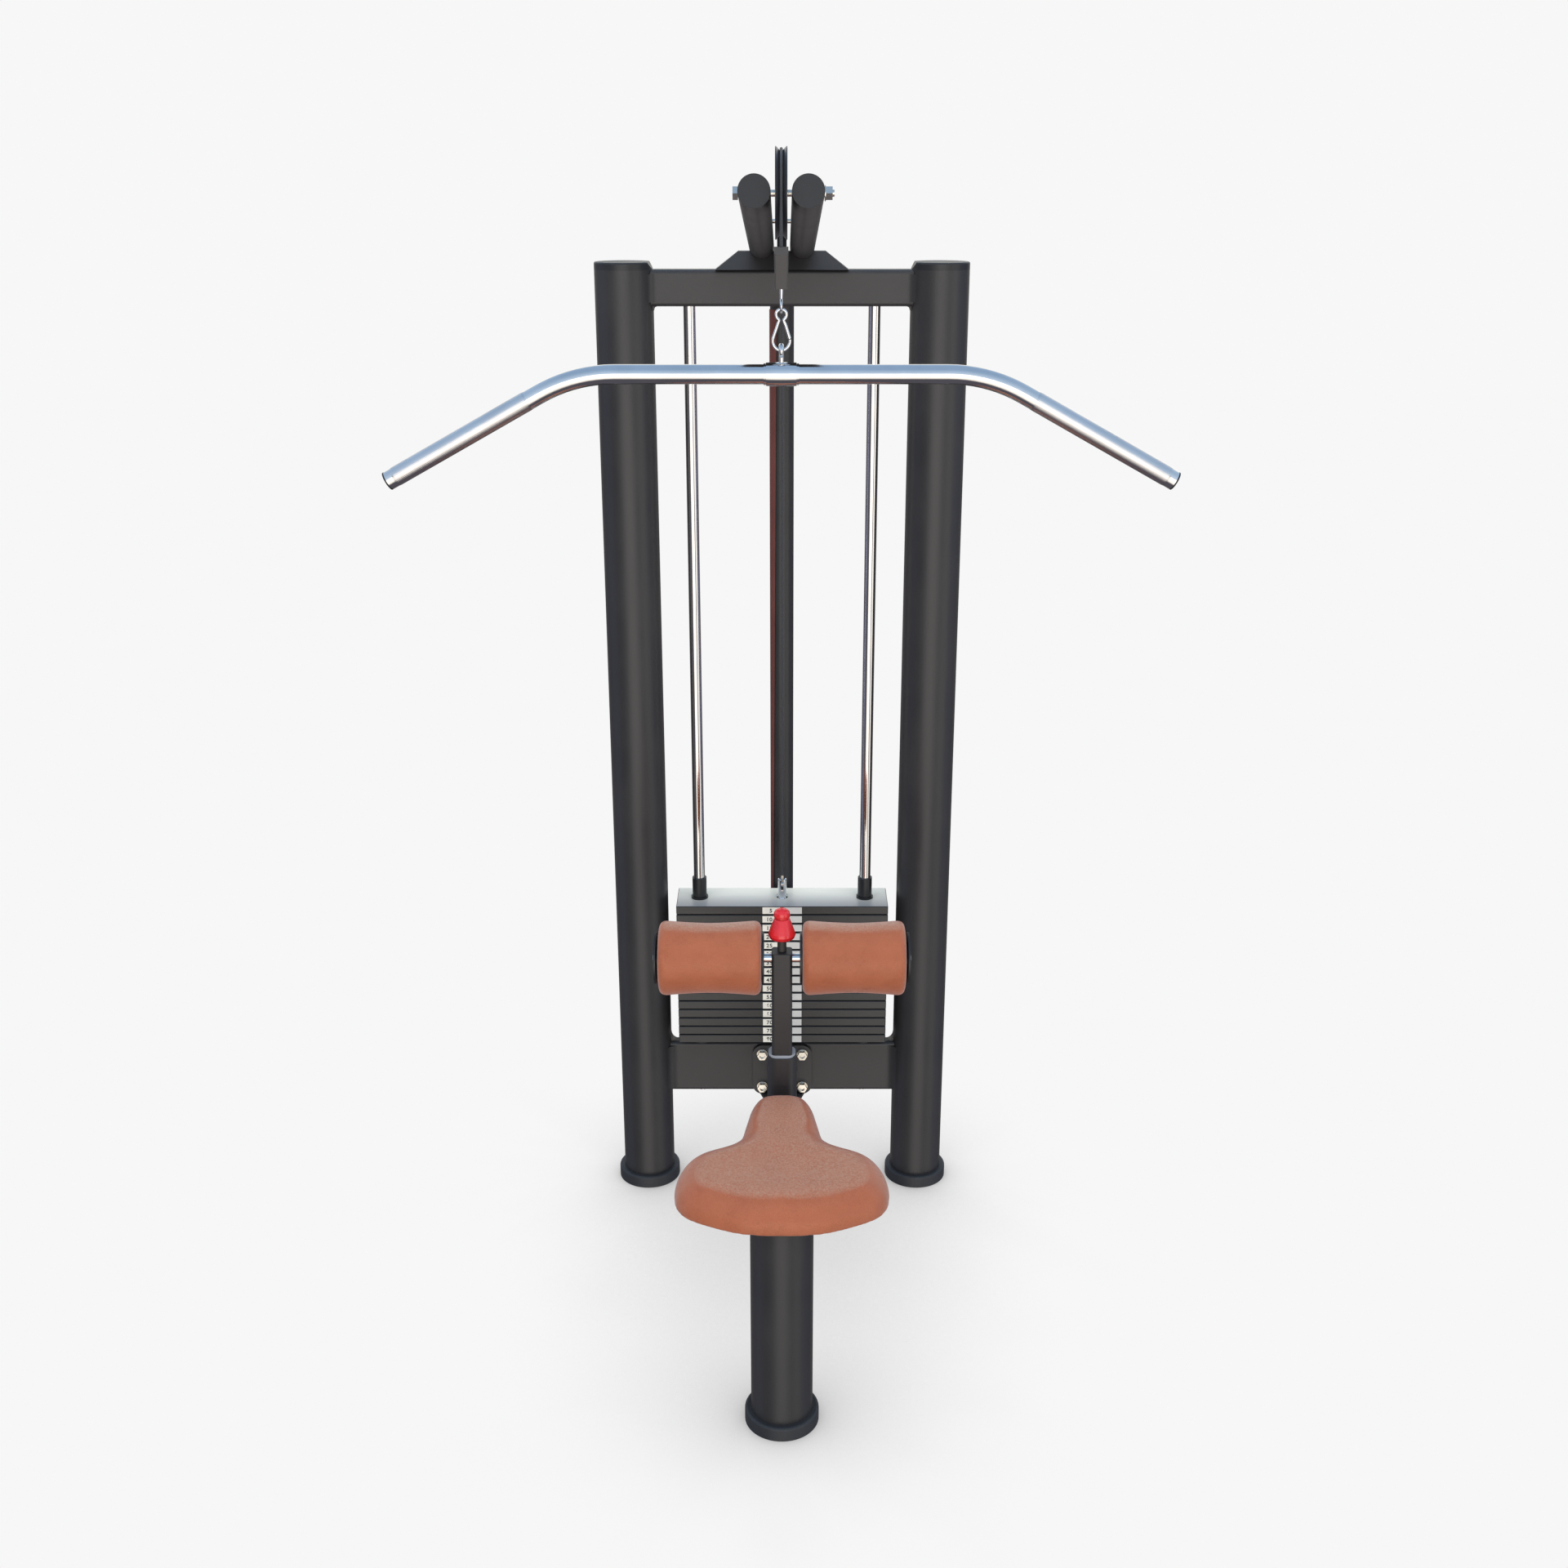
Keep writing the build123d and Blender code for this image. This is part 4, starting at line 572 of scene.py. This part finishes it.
def swollen(mesh, voxel):
    """Evens the mesh out, lets cloth swell under pressure and caps how far it moves."""
    draft = bpy.data.objects.new("draft", mesh)
    bpy.context.scene.collection.objects.link(draft)
    remesh = draft.modifiers.new("remesh", "REMESH")
    remesh.mode = "VOXEL"
    remesh.voxel_size = voxel
    relax = draft.modifiers.new("relax", "SMOOTH")
    relax.factor = 0.5
    relax.iterations = 3
    even = applied(draft)
    draft.modifiers.clear()
    draft.data = even
    before = coordinates(even)
    cloth = draft.modifiers.new("cloth", "CLOTH")
    settings = cloth.settings
    settings.use_pressure = True
    settings.uniform_pressure_force = 4.0
    settings.quality = 5
    settings.mass = 0.3
    settings.tension_stiffness = 30
    settings.compression_stiffness = 30
    settings.shear_stiffness = 12
    settings.bending_stiffness = 1.0
    settings.effector_weights.gravity = 0.0
    cloth.collision_settings.use_collision = False
    cloth.point_cache.frame_start = 1
    cloth.point_cache.frame_end = 20
    for moment in range(1, 21):
        bpy.context.scene.frame_set(moment)
    after = coordinates(applied(draft))
    draft.modifiers.clear()
    bpy.context.scene.frame_set(1)
    move = after - before
    length = np.linalg.norm(move, axis=1)
    limit = SWELL_CAP * np.tanh(length / SWELL_CAP) / np.maximum(length, 1e-9)
    even.vertices.foreach_set("co", (before + move * limit[:, None]).ravel())
    even.update()
    finer = draft.modifiers.new("finer", "SUBSURF")
    finer.levels = 1
    finer.render_levels = 1
    result = applied(draft)
    bpy.data.objects.remove(draft)
    return result


def make_soft_pieces():
    seat = adopt("seat_cushion", swollen(seat_mesh(), 0.0042), "tan_leather", "frame")
    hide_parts("seat_pad")
    for side in ("left", "right"):
        node = f"{side}_roller_pad"
        mesh = swollen(roller_mesh(node), 0.0046)
        roller = adopt(f"{side}_roller_cushion", mesh, "tan_leather", f"{side}_roller")
        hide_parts(node)


# ---------------------------------------------------------------- cables
def make_cable_run(name, node):
    """Cable between a pulley and a moving end, a straight tube of evenly spaced rings."""
    low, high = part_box(node)
    x, y = (low.x + high.x) / 2, (low.y + high.y) / 2
    rings = 140 if high.z - low.z > 0.5 else 40
    line = [Vector((x, y, high.z + (low.z - high.z) * i / (rings - 1))) for i in range(rings)]
    verts, faces = tube_along(line, (high.x - low.x) / 2)
    piece = mesh_piece(name, verts, faces, "steel_cable", None)
    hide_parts(node)
    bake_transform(piece)


def make_cables():
    make_cable_run("stack_cable", "cable_stack_run")
    make_cable_run("bar_cable", "cable_bar_run")


# ---------------------------------------------------------------- grips, numbers and welds
GRIP_START = 0.377          # distance of a grip's inner end from the middle of the bar
GRIP_END = 0.0095           # bare length before the end cap
KNURL_DEPTH = 0.00045
KNURL_PITCH = 0.0030
KNURL_STARTS = 22


def make_grips():
    """Diamond knurl rolled into the sloped ends of the bar."""
    low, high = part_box("lat_bar")
    y = (low.y + high.y) / 2
    radius = (high.y - low.y) / 2
    slope = math.atan2(0.157, 0.285)
    middle_z = low.z + radius * math.cos(slope)
    tip_x = high.x - radius * math.sin(slope)
    length = (tip_x - GRIP_END - GRIP_START) / math.cos(slope)
    around, rows = 176, int(length / 0.00075)
    verts, faces = [], []
    for side in (-1, 1):
        first = len(verts)
        for row in range(rows):
            run = GRIP_END / math.cos(slope) + length * row / (rows - 1)
            fade = min(1.0, row / 4, (rows - 1 - row) / 4)
            centre = Vector((side * (tip_x - run * math.cos(slope)), y, middle_z + run * math.sin(slope)))
            up = Vector((side * math.sin(slope), 0, math.cos(slope)))
            for k in range(around):
                turn = 2 * math.pi * k / around
                phase = 2 * math.pi * run / KNURL_PITCH
                lift = math.cos(KNURL_STARTS * turn + phase) * math.cos(KNURL_STARTS * turn - phase)
                grown = radius + 0.00008 + KNURL_DEPTH * fade * (0.5 + 0.5 * lift)
                verts.append(centre + grown * (math.cos(turn) * Vector((0, 1, 0)) + math.sin(turn) * up))
        faces += [tuple(first + i for i in face) for face in ring_faces(rows, around)]
    mesh_piece("knurled_grips", verts, faces, "knurl", "bar")


NUMBER_HEIGHT = 0.0126
NUMBER_RIGHT = -0.0213


def number_mesh(node, first, last):
    """Printed plate numbers, first to last from the top, five apart."""
    low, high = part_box(node)
    label_half = 0.0077
    joined = bmesh.new()
    for index in range(first, last):
        z = high.z - label_half - (index - first) * (high.z - low.z - 2 * label_half) / (last - first - 1)
        curve = bpy.data.curves.new("number", "FONT")
        curve.body = str(5 * (index + 1))
        curve.size = NUMBER_HEIGHT
        curve.align_x = "RIGHT"
        curve.space_character = 1.12
        curve.extrude = 0.00008
        curve.offset = 0.00030
        text = bpy.data.objects.new("number", curve)
        bpy.context.scene.collection.objects.link(text)
        flat = applied(text)
        place = Matrix.Translation((NUMBER_RIGHT, low.y - 0.00006, z - NUMBER_HEIGHT * 0.35)) @ Matrix.Rotation(math.pi / 2, 4, "X")
        flat.transform(place)
        joined.from_mesh(flat)
        bpy.data.objects.remove(text)
    mesh = bpy.data.meshes.new("numbers")
    joined.to_mesh(mesh)
    joined.free()
    return mesh


def make_numbers():
    lifted = adopt("lifted_plate_numbers", number_mesh("lifted_plate_labels", 0, 8), "ink", "lifted_stack")
    lower = adopt("lower_plate_numbers", number_mesh("lower_plate_labels", 8, 16), "ink", "frame")
    for piece in (lifted, lower):
        for polygon in piece.data.polygons:
            polygon.use_smooth = False


def make_welds():
    """Weld beads where the rail meets its flange and the socket meets the rail."""
    rail_low, rail_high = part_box("base_rail")
    radius = (rail_high.x - rail_low.x) / 2
    rail_z = (rail_high.z + rail_low.z) / 2
    socket_low, socket_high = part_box("roller_socket")
    socket_y = (socket_high.y + socket_low.y) / 2
    half = ((socket_high.x - socket_low.x) / 2, (socket_high.y - socket_low.y) / 2)
    ring = []
    saddle = []
    for k in range(96):
        turn = 2 * math.pi * k / 96
        ring.append(Vector((radius * math.cos(turn), rail_high.y - 0.0008, rail_z + radius * math.sin(turn))))
        shape = (abs(math.cos(turn)) ** 4 + abs(math.sin(turn)) ** 4) ** -0.25
        x, y = half[0] * shape * math.cos(turn), half[1] * shape * math.sin(turn)
        saddle.append(Vector((x, socket_y + y, rail_z + math.sqrt(radius**2 - x**2))))
    for name, line in (("flange_weld", ring), ("socket_weld", saddle)):
        verts, faces = tube_along(line, 0.0024, 12, True)
        mesh_piece(name, verts, faces, "frame_paint", "frame")


# ---------------------------------------------------------------- light and floor
PALE = 0.93                 # the floor and the backdrop, as a linear grey


def make_world():
    """Soft studio surround: blue-grey above, white in front and behind, dim at the sides and below."""
    world = bpy.data.worlds.new("studio")
    bpy.context.scene.world = world
    world.use_nodes = True
    n = Nodes(world.node_tree)
    way = n.add("ShaderNodeVectorMath", {"operation": "NORMALIZE"}, i0=n.add("ShaderNodeTexCoord").outputs["Generated"])
    axes = n.add("ShaderNodeSeparateXYZ", None, Vector=way.outputs[0])
    x, y, z = axes.outputs
    flat = n.math("SQRT", n.math("ADD", n.math("MULTIPLY", x, x), n.math("MULTIPLY", y, y)))
    side = n.math("DIVIDE", x, n.math("MAXIMUM", flat, 0.001))
    front = n.math("DIVIDE", n.math("MULTIPLY", y, -1.0), n.math("MAXIMUM", flat, 0.001))
    main = n.spread(front, 0.82, 1.0, smooth=True)
    second = n.spread(n.math("ADD", n.math("MULTIPLY", side, 0.82), n.math("MULTIPLY", front, 0.57)), 0.93, 1.0, smooth=True)
    behind = n.spread(front, -0.55, -0.95, smooth=True)
    flank = n.spread(n.math("ABSOLUTE", side), 0.88, 1.0, smooth=True)
    dim = n.mix(flank, rgb(0.118, 0.115, 0.130), rgb(0.30, 0.33, 0.50))
    wall = n.mix(main, dim, rgb(2.50, 2.34, 2.16))
    wall = n.mix(n.math("MULTIPLY", second, 1.0), wall, rgb(1.5, 1.45, 1.38))
    fading = n.spread(z, -0.50, -0.08, 0.55, 1.0)
    wall = n.mix(1.0, wall, n.add("ShaderNodeCombineXYZ", None, X=fading, Y=fading, Z=fading), "MULTIPLY")
    rear = n.mix(n.spread(z, -0.14, 0.02, smooth=True), rgb(0.24, 0.22, 0.23), rgb(1.15, 1.12, 1.04))
    wall = n.mix(behind, wall, rear)
    above = n.mix(n.spread(z, 0.25, 0.9), rgb(0.66, 0.82, 1.02), rgb(0.31, 0.46, 0.68))
    low = n.mix(n.spread(z, -0.58, -0.84, smooth=True), wall, rgb(0.095, 0.090, 0.110))
    rise = n.math("SUBTRACT", z, n.math("MULTIPLY", behind, 0.30))
    light = n.mix(n.spread(rise, 0.08, 0.26, smooth=True), low, above)
    seen = n.add("ShaderNodeLightPath").outputs["Is Camera Ray"]
    colour = n.mix(seen, light, rgb(PALE, PALE, PALE))
    ground = n.add("ShaderNodeBackground", None, Color=colour, Strength=1.0)
    output = n.add("ShaderNodeOutputWorld")
    n.tree.links.new(ground.outputs[0], output.inputs["Surface"])


def make_floor():
    """Pale glowing floor with painted soft contact shadows, darkened by ambient occlusion as under overcast studio
    light.
    """
    size = 30.0
    bpy.ops.mesh.primitive_plane_add(size=size, location=(0, 0, -0.0005))
    floor = bpy.context.object
    floor.name = "studio_floor"
    material = bpy.data.materials.new("studio_floor")
    material.use_nodes = True
    n = Nodes(material.node_tree)
    # Painted shadow: the glowing floor dims where ambient occlusion finds the machine close by.
    near = n.add("ShaderNodeAmbientOcclusion", {"samples": 16}, Distance=0.65)
    open_sky = n.spread(near.outputs["AO"], 0.0, 0.91, 0.20, 1.0)
    tone = n.math("MULTIPLY", n.math("POWER", open_sky, 1.45), PALE)
    grain = n.spread(n.noise(n.place(), 3.0, 2), 0.3, 0.7, 0.998, 1.0)
    light = n.add("ShaderNodeEmission", None, Color=n.mix(1.0, rgb(1, 1, 1), rgb(1, 1, 1)), Strength=n.math("MULTIPLY", tone, grain))
    output = n.add("ShaderNodeOutputMaterial")
    n.tree.links.new(light.outputs[0], output.inputs["Surface"])
    floor.data.materials.append(material)
    floor.visible_glossy = False


def make_soft_box(name, place, tilt, size, energy):
    """Wide soft light; it lights surfaces but isn't seen in the chrome."""
    data = bpy.data.lights.new(name, "AREA")
    data.shape = "RECTANGLE"
    data.size, data.size_y = size
    data.energy = energy
    data.color = (1.0, 0.97, 0.93)
    lamp = bpy.data.objects.new(name, data)
    lamp.location = place
    lamp.rotation_euler = (math.radians(tilt), 0, 0)
    lamp.visible_glossy = False
    bpy.context.scene.collection.objects.link(lamp)


def make_stage():
    make_world()
    make_soft_box("overhead", (0, UPRIGHT_Y - 1.6, 5.0), 0, (5.0, 4.0), 170.0)
    make_soft_box("low_front", (0, UPRIGHT_Y - 4.5, 0.5), 90, (3.0, 1.0), 36.0)
    make_floor()
    scene = bpy.context.scene
    scene.view_settings.view_transform = "Standard"
    scene.view_settings.look = "None"


make_camera()
paint_cad_nodes()
make_soft_pieces()
make_seat_board()
make_cables()
make_grips()
make_numbers()
make_welds()
make_stage()
